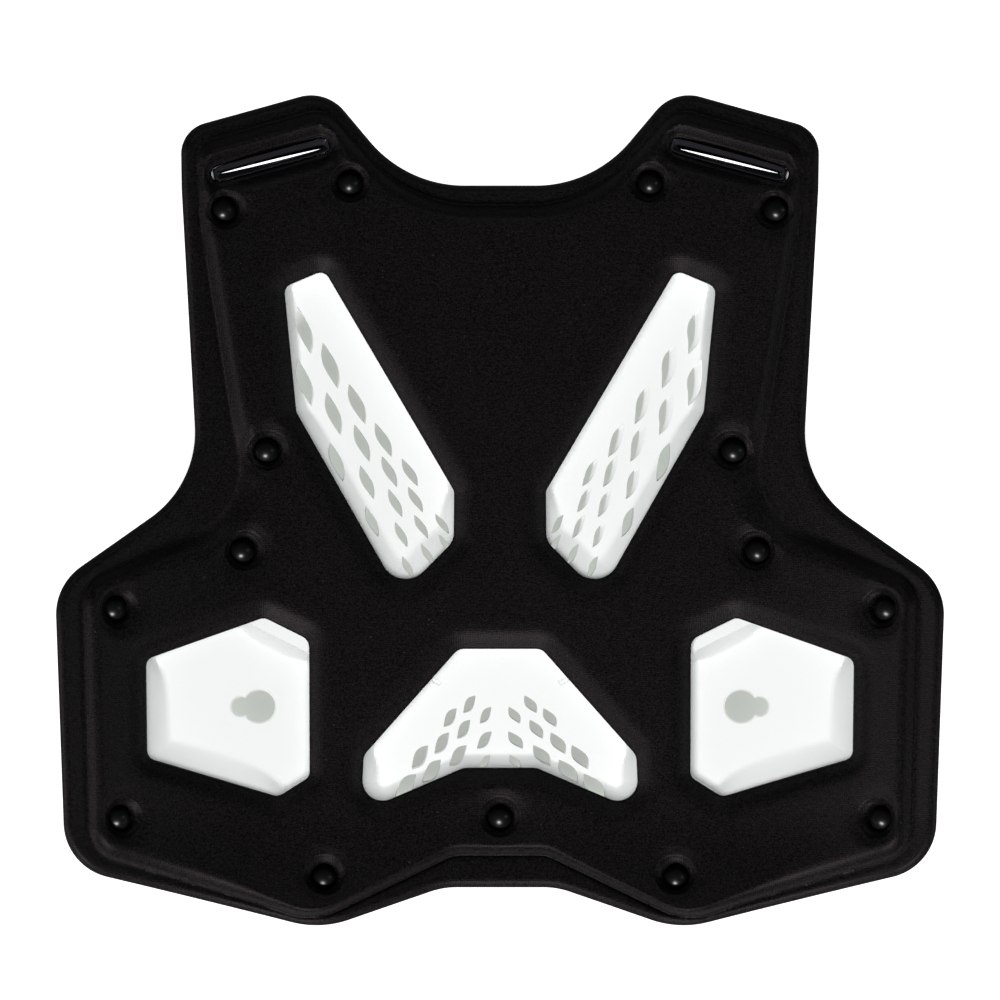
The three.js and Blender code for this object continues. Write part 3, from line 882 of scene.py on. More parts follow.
def vent_tree():
    """Leaf-shaped holes through a sheet: a flared upright cutter on each point, taken out of the sheet."""
    sizes = ("Slenderness", "Skew", "Reach", "Rounding", "Flare")
    tree = PieceTree("vents", {"Points": "Object", **dict.fromkeys(sizes, "Float")})
    slenderness, skew, reach, rounding, flare = (tree.values[label] for label in sizes)
    body, x, y, share = tree.cylinder(36, 10, "NGON")
    lean = 1.0 - y * x * skew * 2.0
    across = x.maths("SIGN") * (1.0 - y * y) * slenderness * lean * 0.5
    opening = piecewise(share, ((0.0, 0.0), (0.2, 0.0), (0.4, 0.12), (0.6, 0.35), (0.8, 0.85), (0.9, 1.0)))
    wide = 1.0 + opening * flare
    # Share of the cutter's height, with the height that it gets
    levels = (
        (0.0, reach * -1.0),
        (0.1, rounding * -2.0),
        (0.8, rounding * -0.1),
        (0.9, rounding * 0.2),
        (1.0, reach),
    )
    place = tree.node("ShaderNodeCombineXYZ", {}, [across * wide, y * wide * 0.5, piecewise(share, levels)])
    sockets = {"Geometry": body, "Name": "share", "Value": share}
    marked = tree.node("GeometryNodeStoreNamedAttribute", {}, sockets)
    sockets = {"Geometry": tree.moved(marked, {"Position": place}), "Distance": 0.00001}
    leaf = tree.node("GeometryNodeMergeByDistance", {}, sockets)
    settings = {"transform_space": "ORIGINAL"}
    points = tree.node("GeometryNodeObjectInfo", settings, [tree.values["Points"]], output="Geometry")
    rotation = tree.node("FunctionNodeEulerToRotation", {}, [tree.attribute("turn", "FLOAT_VECTOR")])
    span = tree.attribute("span")
    scale = tree.node("ShaderNodeCombineXYZ", {}, [span * tree.attribute("girth"), span, 1.0])
    leaves = tree.spread(points, leaf, {"Rotation": rotation, "Scale": scale})
    below = piecewise(tree.attribute("share"), ((0.1, 1.0), (0.8, 0.0)))
    sockets = {"Vector": tree.attribute("slant", "FLOAT_VECTOR"), "Scale": below * (2.0 - below)}
    shift = tree.node("ShaderNodeVectorMath", {"operation": "SCALE"}, sockets)
    settings = {"operation": "DIFFERENCE", "solver": "MANIFOLD"}
    sockets = {"Mesh 1": tree.values["Geometry"], "Mesh 2": tree.moved(leaves, {"Offset": shift})}
    return tree.finish(tree.node("GeometryNodeMeshBoolean", settings, sockets))


# Sizes and colours that a user would change
def a_length(name, description, default):
    return FloatProperty(name=name, description=description, default=default, unit="LENGTH")


def a_power(name, description, default):
    return FloatProperty(name=name, description=description, default=default, unit="POWER")


def a_share(name, description, default):
    return FloatProperty(name=name, description=description, default=default, subtype="FACTOR")


def a_colour(name, description, default):
    return FloatVectorProperty(name=name, description=description, default=default, subtype="COLOR")


class LinerSettings(bpy.types.PropertyGroup):
    pad: a_length("Pad", "Thickness of the raised pad", 0.010)
    flange: a_length("Flange", "Thickness of the thin rim", 0.0035)
    slope: a_length("Slope", "Width of the pad's sloping edge", 0.0072)
    lip: a_length("Lip", "Thin edge round a window", 0.0009)
    dimple: a_length("Dimple", "Depth of a rivet's dimple", 0.0063)
    colour: a_colour("Fabric", "Colour of the knit", (0.00078, 0.00073, 0.00078))


class ShellSettings(bpy.types.PropertyGroup):
    wall: a_length("Wall", "Thickness of the plate", 0.003)
    gap: a_length("Gap", "Clearance under the liner", 0.0005)
    inset: a_length("Inset", "How far the plate stops short of the liner", 0.008)
    bulge_wall: a_length("Bulge wall", "Thickness of a bulge's side", 0.00255)
    reach: a_length("Vent reach", "How far a vent's cutter goes up and down", 0.016)
    rounding: a_length("Vent edge", "Depth of a vent's rounded edge", 0.0012)
    flare: a_share("Flare", "How much wider a vent is at its mouth", 0.1)
    slenderness: a_share("Slenderness", "Width of a vent as a share of its length", 0.3)
    skew: a_share("Skew", "How far a vent's sides are drawn apart", 0.22)
    roughness: a_share("Roughness", "Roughness of the plastic", 0.5)
    colour: a_colour("Plastic", "Colour of the shell", (0.8, 0.815, 0.805))


class RivetSettings(bpy.types.PropertyGroup):
    dome: a_length("Dome", "Radius of the head", 0.0052)
    rise: a_length("Rise", "Height of the head", 0.0042)
    seat: a_length("Seat", "Depth of the head's seat", 0.006)
    shank: a_length("Shank", "Radius of the shank", 0.0026)
    tail: a_length("Tail", "Radius of the tail", 0.005)
    tail_depth: a_length("Tail depth", "Depth of the tail's top", 0.014)
    tail_height: a_length("Tail height", "Thickness of the tail", 0.0015)
    roughness: a_share("Roughness", "Roughness of the plastic", 0.3)
    colour: a_colour("Plastic", "Colour of the rivets", (0.0016, 0.0016, 0.0018))


class EyeletSettings(bpy.types.PropertyGroup):
    height: a_length("Height", "Height of the eyelet", 0.006)
    mouth: a_length("Mouth", "Width of the slot's mouth", 0.0052)
    gap: a_length("Gap", "Widest part of the see-through gap", 0.0009)
    roughness: a_share("Roughness", "Roughness of the plastic", 0.34)
    colour: a_colour("Plastic", "Colour of the eyelets", (0.005, 0.0052, 0.0064))


class StageSettings(bpy.types.PropertyGroup):
    distance: a_length("Distance", "Camera above the part", 6.0)
    width: a_length("Width", "Width that the picture covers", 0.42)
    centre: a_length("Centre", "Picture's middle along Y", 0.0042)
    key: a_power("Key light", "Power from the hem's side", 115.0)
    fill: a_power("Overhead light", "Power from above", 40.0)
    sky: a_share("Surroundings", "Strength of the surroundings", 0.12)
    glow: FloatProperty(name="Glow", description="Light that the floor gives off", default=1.15)
    colour: a_colour("Floor", "Colour of the floor", (0.9, 0.9, 0.9))
    # Painted shadow: the colour and glow of the floor under the part
    shade: a_colour("Shade", "Light of the floor under the part", (0.315, 0.33, 0.31))


class ProtectorSettings(bpy.types.PropertyGroup):
    liner: PointerProperty(type=LinerSettings, name="Liner", description="Moulded foam liner")
    shell: PointerProperty(type=ShellSettings, name="Shell", description="Vented hard shell")
    rivets: PointerProperty(type=RivetSettings, name="Rivets", description="Snap rivets")
    eyelets: PointerProperty(type=EyeletSettings, name="Eyelets", description="Strap eyelets")
    stage: PointerProperty(type=StageSettings, name="Stage", description="Floor, lights and camera")


# Liner
SLOTS = [slot_loop(side, **LINER_SLOT) for side in (-1, 1)]
OUTLINE_LOOP = rounded(both_halves(OUTLINE))
PAD_LOOP = rounded(both_halves(PAD))

# How the pad's edge and the recesses bend from a crease into the level face
PAD_BEND = 1.6

# Where the pad's edge fades into the flange under the arms: middle, reach, how much wider it slopes there,
# and the share of its rise that its foot starts with
ARMHOLE = {"x": 119.0, "y": 8.0, "reach": 20.0, "widen": 2.2, "start": 0.02}

# The steeper edge along the hem: how far it goes across and upwards, and how much narrower it slopes
STEEP_HEM = {"x": 70.0, "fade_x": 60.0, "y": -150.0, "fade_y": 30.0, "narrow": 0.55}

# Fine grooves beside the pad's foot, at the hem and at the neck: how far they go across, the heights on the
# part where they start and are whole, depth and width
GROOVES = (
    {"x": 105.0, "fade_x": 45.0, "start": -90.0, "whole": -130.0, "depth": 0.5, "width": 0.7},
    {"x": 60.0, "fade_x": 25.0, "start": 60.0, "whole": 100.0, "depth": 0.3, "width": 2.2},
)
GROOVE_OFFSET = -0.35

# Recesses round the windows and the strap slots, and the liner's rounded rim
WINDOW_RECESS = {"depth": 3.6, "slope": 7.8, "edge": 0.8}
SLOT_RECESS = {"depth": 4.2, "slope": 6.5, "edge": 0.8, "lip": 1.6}
FLANGE_ROUND = {"reach": 3.4, "drop": 2.9, "power": 1.5}
UNDERSIDE_ROUND = 0.4

# Slight unevenness of the foam: lengths of a long swell and of a short slanted one, their heights, and how
# far inside the pad's foot it is whole
SWELL = {"long_x": 17.0, "long_y": 21.0, "short_x": 8.3, "short_y": 10.7, "short": 0.6, "height": 0.07}
SWELL_START = 12.0

# Dishes round the rivets: radii of the shoulder, the crease and the throat, and how far each one sinks
DISH = {"outer": 13.4, "crease": 8.2, "throat": 5.7, "sink": 0.9, "step": 0.75, "fall": 1.8}
CREASE_WIDTH = 0.5
THROAT_WIDTH = 0.4

# Bands of painted highlight, where the knit is made paler along edges that catch the light: distance from the
# edge, width and strength
PAINTED_HIGHLIGHT_BANDS = {"flange": (1.0, 0.9, 0.3), "foot": (1.0, 1.0, 0.85), "window": (2.0, 1.7, 0.35)}

# On the flange and the foot the painted highlight fades upwards, away from the hem-side light: least
# strength, where that is reached and over what height
PAINTED_HIGHLIGHT_FADE = {"least": 0.3, "y": 60.0, "height": 200.0}

# How far round a rivet the underside is drawn along the rivet's axis
RIVET_PULL = {"start": 4.0, "fade": 12.0}


def recessed(level, places, loops, lip, depth, slope, edge):
    """Lowers the face round holes: a thin lip with a rounded edge, and a slope up to the face."""
    for loop in loops:
        outside = -loop.depth_near(places)
        rim = -depth + depth * creased((outside - lip) / slope, PAD_BEND)
        level = np.minimum(level, rim + edge_drop(outside, edge))
    return level


def foam_swell(places):
    x, y = places.T
    swell = np.sin(x / SWELL["long_x"] + 0.6) * np.sin(y / SWELL["long_y"] + 1.1)
    swell += SWELL["short"] * np.sin(x / SWELL["short_x"] + y / SWELL["short_y"])
    return SWELL["height"] * swell


def liner_levels(places, sizes):
    """Height of the liner's face over each place, counted from the pad's surface."""
    across = np.abs(places[:, 0])
    upward = places[:, 1]
    edge = OUTLINE_LOOP.depth(places)
    foot = PAD_LOOP.depth(places)
    away = (across - ARMHOLE["x"]) ** 2 + (upward - ARMHOLE["y"]) ** 2
    soft = np.exp(-away / ARMHOLE["reach"] ** 2)
    hem = fading(across, STEEP_HEM["x"], STEEP_HEM["fade_x"])
    hem *= fading(upward, STEEP_HEM["y"], STEEP_HEM["fade_y"])
    width = sizes.slope / MM * (1.0 + ARMHOLE["widen"] * soft) * (1.0 - STEEP_HEM["narrow"] * hem)
    drop = sizes.pad / MM - sizes.flange / MM
    level = -drop + drop * creased(foot / width + ARMHOLE["start"] * soft, PAD_BEND)
    for groove in GROOVES:
        shown = fading(across, groove["x"], groove["fade_x"])
        shown *= smooth((upward - groove["start"]) / (groove["whole"] - groove["start"]))
        level -= groove["depth"] * shown * band(foot, GROOVE_OFFSET, groove["width"])
    level -= FLANGE_ROUND["drop"] * (1.0 - creased(edge / FLANGE_ROUND["reach"], FLANGE_ROUND["power"]))
    level = recessed(level, places, WINDOWS, sizes.lip / MM, **WINDOW_RECESS)
    level = recessed(level, places, SLOTS, **SLOT_RECESS)
    return level + foam_swell(places) * smooth(foot / SWELL_START)


def dish_depth(radial):
    """How far the face dips round a rivet: a soft shoulder, a fine crease and a cone."""
    crease = DISH["crease"]
    shoulder = fading(radial, crease, DISH["outer"] - crease)
    step = fading(radial, crease - CREASE_WIDTH / 2, CREASE_WIDTH)
    cone = np.clip((crease - radial) / (crease - DISH["throat"]), 0.0, 1.0)
    return DISH["sink"] * shoulder + DISH["step"] * step + DISH["fall"] * cone


def dimpled(points, sizes):
    """Sinks a dish round each rivet and a well under its head, along the rivet's own axis."""
    sunk = points.copy()
    depth = sizes.dimple / MM
    for seat, axis in zip(RIVET_SEATS, RIVET_AXES):
        away = points - seat
        near = np.abs(away[:, :2]).max(1) < NEAR
        along = away[near] @ axis
        radial = np.linalg.norm(away[near] - np.outer(along, axis), axis=1)
        well = fading(radial, DISH["throat"] - THROAT_WIDTH / 2, THROAT_WIDTH)
        floor = np.minimum(-depth, along) - along
        sink = -dish_depth(radial) * (1.0 - well) + floor * well
        sunk[near] += np.outer(sink, axis)
    return sunk


def painted_highlight_band(distance, part):
    middle, width, strength = PAINTED_HIGHLIGHT_BANDS[part]
    return strength * band(distance, middle, width)


def painted_edge_highlights(places):
    """How much painted highlight pales the knit at each place: along the flange, the pad's foot and the
    windows.
    """
    painted_highlight = painted_highlight_band(OUTLINE_LOOP.depth(places), "flange") + painted_highlight_band(PAD_LOOP.depth(places), "foot")
    least = PAINTED_HIGHLIGHT_FADE["least"]
    lower = smooth((PAINTED_HIGHLIGHT_FADE["y"] - places[:, 1]) / PAINTED_HIGHLIGHT_FADE["height"])
    painted_highlight *= least + (1.0 - least) * lower
    for window in WINDOWS:
        painted_highlight += painted_highlight_band(-window.depth_near(places), "window")
    return np.clip(painted_highlight, 0.0, 1.0)


def liner_underside(places, sizes):
    """The side that lies on the shell, drawn along each rivet's axis near it."""
    depth = sizes.pad / MM
    points = at_level(places, -depth - edge_drop(OUTLINE_LOOP.depth(places), UNDERSIDE_ROUND))
    for plan, axis in zip(RIVET_PLAN, RIVET_AXES):
        away = np.linalg.norm(places - plan, axis=1)
        weight = fading(away, RIVET_PULL["start"], RIVET_PULL["fade"])
        shift = -depth * (axis - np.array([0.0, 0.0, 1.0 / axis[2]]))
        points += np.outer(weight, shift)
    return points


class PROTECTOR_OT_liner(bpy.types.Operator):
    """Makes the moulded foam liner with its flange, windows, strap slots and rivet dimples"""

    bl_idname = "protector.liner"
    bl_label = "Liner"

    def execute(self, context):
        sizes = context.scene.protector.liner
        rivets = range(len(RIVETS))
        holes = [Loop(rivet_ring(i, LINER_RIVET_HOLE, count=HOLE_POINTS)) for i in rivets]
        loops = [OUTLINE_LOOP, *WINDOWS, *SLOTS, *holes]
        groups = [rivet_ring(i, radius) for i in rivets for radius in (*WELL_RINGS, *DISH_RINGS)]
        groups += [window.ring(distance) for window in [*WINDOWS, *SLOTS] for distance in WINDOW_RINGS]
        groups += [PAD_LOOP.ring(distance) for distance in PAD_RINGS]
        groups += [OUTLINE_LOOP.ring(distance) for distance in FLANGE_RINGS]
        plan, faces = sheet_plan(loops, groups, LINER_PITCH, FACE_ROOM)
        face = dimpled(at_level(plan, liner_levels(plan, sizes)), sizes)
        groups = [OUTLINE_LOOP.ring(distance) for distance in EDGE_RINGS]
        groups += [rivet_ring(i, radius, count=RING_POINTS) for i in rivets for radius in UNDERSIDE_RINGS]
        low_plan, low_faces = sheet_plan(loops, groups, UNDERSIDE_PITCH, UNDERSIDE_ROOM)
        underside = liner_underside(low_plan, sizes)
        mesh = closed_mesh("liner_pad", loops, face, faces, underside, low_faces)
        finished(mesh, SHARP["liner"])
        # The painted highlight of the knit's edges, kept on the face's points
        layer = mesh.attributes.new("painted_highlight", "FLOAT", "POINT")
        layer.data.foreach_set("value", np.concatenate([painted_edge_highlights(plan), np.zeros(len(low_plan))]))
        piece = add_piece("liner_pad", mesh, knit_fabric(sizes.colour), ["liner"])
        return {"FINISHED"}


# Shell
class Bulge:
    """A hollow of the shell behind a window: its rim, how wide its wall slopes, and its floor."""

    def __init__(self, window, floor, side=1):
        corners = inset(window, [-lap for _, _, _, lap, _ in window])
        places = np.array([corner[:2] for corner in corners])
        rim = rounded(corners)
        self.rim = rim if side > 0 else mirrored(rim)
        self.starts = places * (side, 1.0)
        self.ends = np.roll(places, -1, axis=0) * (side, 1.0)
        self.runs = np.array([run for _, _, _, _, run in window])
        self.floor = floor

    def share(self, places, grow):
        """How far down the sloping wall each place is, from 0 at the rim to 1 on the floor."""
        depth = self.rim.depth_near(places) + grow
        share = np.zeros(len(places))
        inside = depth > 0
        ahead = self.ends - self.starts
        away = places[inside][:, None] - self.starts
        along = np.clip((away * ahead).sum(2) / (ahead**2).sum(1), 0.0, 1.0)
        gap = np.linalg.norm(away - along[..., None] * ahead, axis=2)
        # The nearest edge's width counts most
        weight = 1.0 / (gap + 0.8) ** 4
        run = (weight * self.runs).sum(1) / weight.sum(1)
        share[inside] = depth[inside] / run
        return creased(share, HOLLOW_BEND)


def belly_floor(places):
    return np.zeros(len(places))


def diagonal_floor(places):
    turn = math.radians(CREASE["turn"])
    x = np.abs(places[:, 0]) - CREASE["x"]
    y = places[:, 1] - CREASE["y"]
    softness = CREASE["softness"]
    bent = softness * np.logaddexp(0.0, (x * math.sin(turn) - y * math.cos(turn)) / softness)
    return bent * math.tan(math.radians(CREASE["rise"]))


def side_floor(places):
    across = np.abs(places[:, 0]) - SIDE_FLOOR["x"]
    return SIDE_FLOOR["height"] + across * SIDE_FLOOR["slope"]


BULGES = [Bulge(BELLY_WINDOW, belly_floor)]
BULGES += [Bulge(DIAGONAL_WINDOW, diagonal_floor, side) for side in (-1, 1)]
BULGES += [Bulge(SIDE_WINDOW, side_floor, side) for side in (-1, 1)]

# Small marks of the mould in the belly hollow: two locating notches and the ring of an ejector pin
NOTCH = {"x": 26.9, "y": -72.2, "turn": 24.0, "length": 3.6, "width": 1.5, "depth": 1.1, "blur": 0.6}
PIN_MARK = {"x": -2.6, "y": -68.0, "radius": 3.8, "width": 0.3, "depth": 0.07}

# Radii that round the shell's rim and the edges of its holes
SHELL_ROUND = {"rim": 0.9, "hole": 0.7}


def mould_marks(places):
    """How deep the small marks are at each place."""
    radial = np.hypot(places[:, 0] - PIN_MARK["x"], places[:, 1] - PIN_MARK["y"])
    ring = PIN_MARK["depth"] * band(radial, PIN_MARK["radius"], PIN_MARK["width"])
    turn = math.radians(NOTCH["turn"])
    x = np.abs(places[:, 0]) - NOTCH["x"]
    y = places[:, 1] - NOTCH["y"]
    along = np.abs(x * math.cos(turn) + y * math.sin(turn)) - NOTCH["length"] / 2
    across = np.abs(y * math.cos(turn) - x * math.sin(turn)) - NOTCH["width"] / 2
    notch = fading(np.maximum(along, across), -NOTCH["blur"] / 2, NOTCH["blur"])
    return ring + NOTCH["depth"] * notch


def mark_points():
    """Fine patches of points over the notches and rings of points over the pin's mark."""
    steps = np.arange(-2.8, 2.9, 0.45)
    x, y = np.meshgrid(steps, steps)
    patch = np.column_stack([x.ravel(), y.ravel()])
    angles = np.linspace(0.0, 2 * math.pi, 40, endpoint=False)
    rings = [on_circle(radius, angles) + (PIN_MARK["x"], PIN_MARK["y"]) for radius in PIN_RINGS]
    return [*rings, *(patch + (side * NOTCH["x"], NOTCH["y"]) for side in (-1, 1))]


def shell_sheet(places, sizes, outer):
    """One side of the shell over each place: the side towards the liner, or the outer side."""
    wall = sizes.wall / MM
    level = -LINER_DEPTH - sizes.gap / MM - (wall if outer else 0.0)
    points = at_level(places, np.full(len(places), level))
    heights = points[:, 2]
    grow = sizes.bulge_wall / MM if outer else 0.0
    for bulge in BULGES:
        share = bulge.share(places, grow)
        floor = bulge.floor(places) + (0.0 if outer else wall)
        heights = heights + (floor - heights) * share
    if not outer:
        heights = heights - mould_marks(places)
    points[:, 2] = heights
    return points


def shell_rim_rounding(places, outline, holes):
    """How far the shell's edges are rounded off at each place."""
    drop = edge_drop(outline.depth(places), SHELL_ROUND["rim"])
    for hole in holes:
        drop += edge_drop(-hole.depth_near(places), SHELL_ROUND["hole"])
    return drop


# Groups of vents: how much longer and wider they are moulded, and how far a vent's outer end is drawn aside
# from its inner one on the left and on the right, as a share of its length
VENT_GROUPS = (
    (DIAGONAL_VENTS, 1.13, 0.9, {-1: (-0.03, 0.02, 0.0), 1: (-0.17, -0.13, 0.0)}),
    (BELLY_VENTS, 1.04, 1.45, {-1: (-0.04, 0.06, 0.0), 1: (-0.04, 0.06, 0.0)}),
)

# Vents are drawn aside on a hollow's floor only: share of its wall where that starts, and over what share
SLANT = {"start": 0.8, "fade": 0.18}


def vent_places(sizes):
    """Points on the shell's inner side for every vent, with each one's turn, length, girth and slant."""
    points, turns, spans, girths, slants = [], [], [], [], []
    for vents, stretch, girth, slant in VENT_GROUPS:
        for x, y, step_x, step_y, count, length, shrink, lean in vents:
            for i in range(count):
                for side in (-1, 1):
                    points.append((side * (x + i * step_x), y + i * step_y))
                    turns.append((0.0, 0.0, -side * math.radians(lean)))
                    spans.append((length - i * shrink) * stretch * MM)
                    girths.append(girth)
                    slants.append(slant[side])
    places = np.array(points)
    level = np.max([bulge.share(places, 0.0) for bulge in BULGES], axis=0)
    slanting = smooth((level - SLANT["start"]) / SLANT["fade"])
    slants = np.array(slants) * (np.array(spans) * slanting)[:, None]
    return shell_sheet(places, sizes, False), turns, spans, girths, slants


class PROTECTOR_OT_shell(bpy.types.Operator):
    """Makes the hard shell with its hollow bulges, keyholes, slots and leaf-shaped vents"""

    bl_idname = "protector.shell"
    bl_label = "Shell"

    def execute(self, context):
        sizes = context.scene.protector.shell
        corners = both_halves(OUTLINE)
        outline = rounded(inset(corners, [sizes.inset / MM] * len(corners)))
        keyhole = keyhole_loop()
        slots = [slot_loop(side, **SHELL_SLOT) for side in (-1, 1)]
        depth = LINER_DEPTH + (sizes.gap + sizes.wall / 2) / MM
        rivets = range(len(RIVETS))
        rivet_holes = [Loop(rivet_ring(i, SHELL_RIVET_HOLE, depth, HOLE_POINTS)) for i in rivets]
        holes = [keyhole, mirrored(keyhole), *slots, *rivet_holes]
        loops = [outline, *holes]
        groups = [hole.ring(-distance) for hole in holes for distance in EDGE_RINGS]
        groups += [outline.ring(distance) for distance in EDGE_RINGS]
        groups += mark_points()
        groups += [bulge.rim.ring(distance) for bulge in BULGES for distance in BULGE_RINGS]
        plan, faces = sheet_plan(loops, groups, SHELL_PITCH, FACE_ROOM)
        rounding = shell_rim_rounding(plan, outline, holes)
        inner = shell_sheet(plan, sizes, False)
        outer = shell_sheet(plan, sizes, True)
        inner[:, 2] += rounding
        outer[:, 2] -= rounding
        sheet = closed_mesh("shell_sheet", loops, inner, faces, outer, faces)
        holder = bpy.data.objects.new("shell_sheet", sheet)
        context.scene.collection.objects.link(holder)
        points, turns, spans, girths, slants = vent_places(sizes)
        attributes = (
            ("turn", "FLOAT_VECTOR", turns),
            ("span", "FLOAT", spans),
            ("girth", "FLOAT", girths),
            ("slant", "FLOAT_VECTOR", slants),
        )
        vents = point_holder("vent_points", points, attributes)
        material = moulded_plastic(sizes.colour, sizes.roughness)
        values = {
            "Points": vents,
            "Slenderness": sizes.slenderness,
            "Skew": sizes.skew,
            "Reach": sizes.reach,
            "Rounding": sizes.rounding,
            "Flare": sizes.flare,
            "Material": material,
        }
        mesh = baked(holder, vent_tree(), values)
        mesh.name = "vented_shell"
        discard(holder)
        discard(vents)
        add_piece("vented_shell", finished(mesh, SHARP["shell"]), material, ["shell"])
        return {"FINISHED"}


# Rivets
class PROTECTOR_OT_rivets(bpy.types.Operator):
    """Makes the fifteen snap rivets in the liner's dimples"""

    bl_idname = "protector.rivets"
    bl_label = "Rivets"

    def execute(self, context):
        sizes = context.scene.protector.rivets
        holder = point_holder("rivet_points", RIVET_SEATS, (("axis", "FLOAT_VECTOR", RIVET_AXES),))
        material = dark_plastic("rivet_plastic", sizes.colour, sizes.roughness)
        values = {
            "Dome radius": sizes.dome,
            "Dome height": sizes.rise,
            "Seat": -sizes.seat,
            "Shank radius": sizes.shank,
            "Tail radius": sizes.tail,
            "Tail top": -sizes.tail_depth,
            "Tail height": sizes.tail_height,
            "Material": material,
        }
        mesh = baked(holder, rivet_tree(), values)
        mesh.name = "snap_rivets"
        discard(holder)
        add_piece("snap_rivets", finished(mesh, SHARP["rivets"]), material, list(RIVETS))
        return {"FINISHED"}


# Eyelets
EYELET_SIDES = 96
EYELET_ANGLES = np.linspace(0.0, 2 * math.pi, EYELET_SIDES, endpoint=False)

# How square the eyelet's ends are, and its see-through gap: length, offset towards the hem, turn, taper
EYELET_CORNER = 7.0
LENS = {"length": 43.2, "offset": -0.5, "turn": 1.4, "taper": 0.35}


def superellipse(length, width):
    """A closed ring of points round a long rounded outline."""
    x, y = np.cos(EYELET_ANGLES), np.sin(EYELET_ANGLES)
    power = 2 / EYELET_CORNER
    x = np.sign(x) * np.abs(x) ** power
    y = np.sign(y) * np.abs(y) ** power
    return np.column_stack([x * length / 2, y * width / 2])


def lens(longer, width, side):
    """A long ring that tapers to both ends, turned a little in its plane and set towards the hem."""
    across = np.sin(EYELET_ANGLES)
    x = np.cos(EYELET_ANGLES) * (LENS["length"] + longer) / 2
    y = across * np.abs(across) ** LENS["taper"] * width / 2 + LENS["offset"]
    return turned(np.column_stack([x, y]), side * math.radians(LENS["turn"]))


def eyelet_rings(sizes, side):
    """Rings of the eyelet from its outer foot, over its rim and down its throat to the foot again."""
    height = sizes.height / MM
    mouth = sizes.mouth / MM
    gap = sizes.gap / MM
    length, width = EYELET["length"], EYELET["width"]
    rim = length - 1.1
    rim_width = (width + mouth) / 2
    sections = (
        (superellipse(length - 1.0, width - 1.0), 0.0),
        (superellipse(length, width), 0.5),
        (superellipse(length, width), height - 0.9),
        (superellipse(length - 0.5, width - 0.5), height - 0.3),
        (superellipse(rim + 0.2, rim_width + 0.2), height),
        (superellipse(rim - 0.2, rim_width - 0.2), height),
        (superellipse(rim - 0.9, mouth), height - 0.35),
        (lens(0.4, gap + 0.3, side), height * 0.3),
        (lens(0.0, gap, side), height * 0.22),
        (lens(0.0, gap, side), 0.4),
        (lens(0.3, gap + 0.2, side), 0.0),
    )
    return [np.column_stack([ring, np.full(len(ring), level)]) for ring, level in sections]


def eyelet_matrix(side):
    """Rotation and place of an eyelet: it bridges the shoulder's curve over the shell."""
    turn = side * math.radians(EYELET["turn"])
    along = np.array([math.cos(turn), math.sin(turn)])
    centre = np.array([side * EYELET["x"], EYELET["y"]])
    tips = centre + np.outer((-0.5, 0.5), along) * EYELET["length"]
    low, high = at_level(tips, np.full(2, -LINER_DEPTH))[:, 2]
    tilt = math.atan2(high - low, EYELET["length"])
    forward = np.array([along[0] * math.cos(tilt), along[1] * math.cos(tilt), math.sin(tilt)])
    sideways = np.array([-along[1], along[0], 0.0])
    upward = np.cross(forward, sideways)
    return np.column_stack([forward, sideways, upward]), np.array([*centre, (low + high) / 2])


class PROTECTOR_OT_eyelets(bpy.types.Operator):
    """Makes the two strap eyelets in the shoulders"""

    bl_idname = "protector.eyelets"
    bl_label = "Eyelets"

    def execute(self, context):
        sizes = context.scene.protector.eyelets
        material = dark_plastic("eyelet_plastic", sizes.colour, sizes.roughness)
        for label, side in (("left", -1), ("right", 1)):
            rings = eyelet_rings(sizes, side)
            rotation, place = eyelet_matrix(side)
            points = np.concatenate(rings) @ rotation.T + place
            faces = []
            for level in range(len(rings)):
                after = (level + 1) % len(rings)
                for i in range(EYELET_SIDES):
                    j = (i + 1) % EYELET_SIDES
                    start, end = level * EYELET_SIDES, after * EYELET_SIDES
                    faces.append((start + i, start + j, end + j, end + i))
            name = f"eyelet_{label}"
            mesh = bpy.data.meshes.new(name)
            mesh.from_pydata((points * MM).tolist(), [], faces)
            mesh.validate()
            finished(mesh, SHARP["eyelets"])
            add_piece(name, mesh, material, [f"strap_eyelet_{label}"])
        return {"FINISHED"}


# Stage
FLOOR = {"reach": 6.0, "height": -0.0002}
SKY_TINT = (0.93, 1.0, 0.96, 1.0)
SENSOR = 36.0
WHITE = (1.0, 1.0, 1.0)
EYELETS = ("eyelet_left", "eyelet_right")
DARK = ("liner_pad", "snap_rivets", *EYELETS)

# Lamps of the dark pieces: name, share of the key light's power, size, place, tint, pieces that it lights
LAMPS = (
    ("key", 1.0, (0.7, 0.4), (-0.25, -1.4, 1.22), (1.0, 0.95, 0.96), DARK),
    ("side", 0.42, (0.4, 0.8), (-1.8, -0.5, 0.9), WHITE, ("liner_pad",)),
    ("other_side", 0.2, (0.4, 0.8), (1.8, -0.5, 0.9), WHITE, ("liner_pad",)),
    ("top", 0.17, (0.8, 0.4), (0.1, 1.5, 1.4), (0.95, 0.95, 1.0), ("liner_pad", *EYELETS)),
    ("rim", 0.022, (0.25, 0.6), (1.4, 0.1, 0.9), (0.7, 1.0, 0.85), DARK),
)


def add_light(name, power, size, place, tint, pieces):
    """A soft rectangular lamp that faces the part and lights only the pieces it is meant for."""
    lamp = bpy.data.lights.new(name, "AREA")
    lamp.shape = "RECTANGLE"
    lamp.size, lamp.size_y = size
    lamp.energy = power
    lamp.color = tint
    holder = bpy.data.objects.new(name, lamp)
    holder.location = place
    holder.rotation_euler = (-Vector(place)).to_track_quat("-Z", "Y").to_euler()
    bpy.context.scene.collection.objects.link(holder)
    lit = bpy.data.collections.new(f"lit_by_{name}")
    for piece in pieces:
        lit.objects.link(bpy.data.objects[piece])
    holder.light_linking.receiver_collection = lit


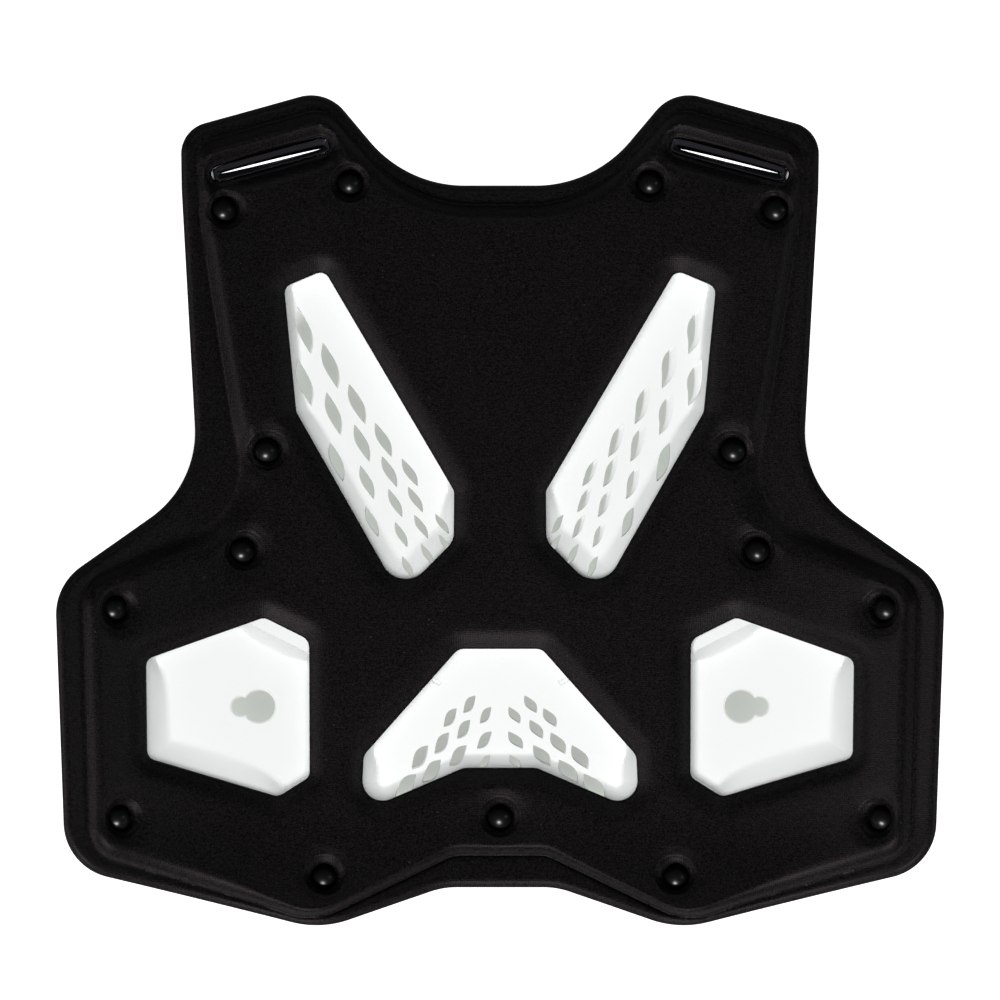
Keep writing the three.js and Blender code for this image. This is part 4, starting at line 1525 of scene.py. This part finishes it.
class PROTECTOR_OT_stage(bpy.types.Operator):
    """Makes the floor, the lights and the camera"""

    bl_idname = "protector.stage"
    bl_label = "Stage"

    def execute(self, context):
        scene = context.scene
        sizes = scene.protector.stage
        reach, low = FLOOR["reach"], FLOOR["height"]
        mesh = bpy.data.meshes.new("floor")
        corners = [(-reach, -reach, low), (reach, -reach, low), (reach, reach, low), (-reach, reach, low)]
        mesh.from_pydata(corners, [], [(0, 1, 2, 3)])
        mesh.materials.append(pale_floor(sizes.colour, sizes.glow, sizes.shade))
        floor = bpy.data.objects.new("floor", mesh)
        scene.collection.objects.link(floor)

        world = bpy.data.worlds.new("studio")
        world.use_nodes = True
        background = world.node_tree.nodes["Background"].inputs
        background["Color"].default_value = SKY_TINT
        background["Strength"].default_value = sizes.sky
        scene.world = world
        for name, share, size, place, tint, pieces in LAMPS:
            add_light(name, sizes.key * share, size, place, tint, pieces)
        add_light("overhead", sizes.fill, (0.7, 0.6), (-0.12, -0.28, 1.95), WHITE, ("vented_shell",))

        camera = bpy.data.cameras.new("camera")
        camera.sensor_width = SENSOR
        camera.lens = SENSOR * sizes.distance / sizes.width
        camera.clip_end = sizes.distance * 4
        holder = bpy.data.objects.new("camera", camera)
        holder.location = (0.0, sizes.centre, sizes.distance + FACE_HEIGHT * MM)
        scene.collection.objects.link(holder)
        scene.camera = holder
        scene.view_settings.view_transform = "Standard"
        return {"FINISHED"}


class PROTECTOR_PT_panel(bpy.types.Panel):
    """Lists the pieces and their sizes"""

    bl_idname = "PROTECTOR_PT_panel"
    bl_label = "Chest protector"
    bl_space_type = "VIEW_3D"
    bl_region_type = "UI"
    bl_category = "Protector"

    def draw(self, context):
        settings = context.scene.protector
        for operator, group in PIECES:
            box = self.layout.box()
            box.operator(operator.bl_idname)
            chosen = getattr(settings, group)
            for key in chosen.__annotations__:
                box.prop(chosen, key)


PIECES = (
    (PROTECTOR_OT_liner, "liner"),
    (PROTECTOR_OT_shell, "shell"),
    (PROTECTOR_OT_rivets, "rivets"),
    (PROTECTOR_OT_eyelets, "eyelets"),
    (PROTECTOR_OT_stage, "stage"),
)
CLASSES = (
    LinerSettings,
    ShellSettings,
    RivetSettings,
    EyeletSettings,
    StageSettings,
    ProtectorSettings,
    *(operator for operator, _ in PIECES),
    PROTECTOR_PT_panel,
)


def register():
    for cls in CLASSES:
        bpy.utils.register_class(cls)
    bpy.types.Scene.protector = PointerProperty(type=ProtectorSettings)


def unregister():
    del bpy.types.Scene.protector
    for cls in reversed(CLASSES):
        bpy.utils.unregister_class(cls)


def main():
    register()
    bpy.ops.protector.shell()
    bpy.ops.protector.liner()
    bpy.ops.protector.rivets()
    bpy.ops.protector.eyelets()
    bpy.ops.protector.stage()


if __name__ == "__main__":
    main()
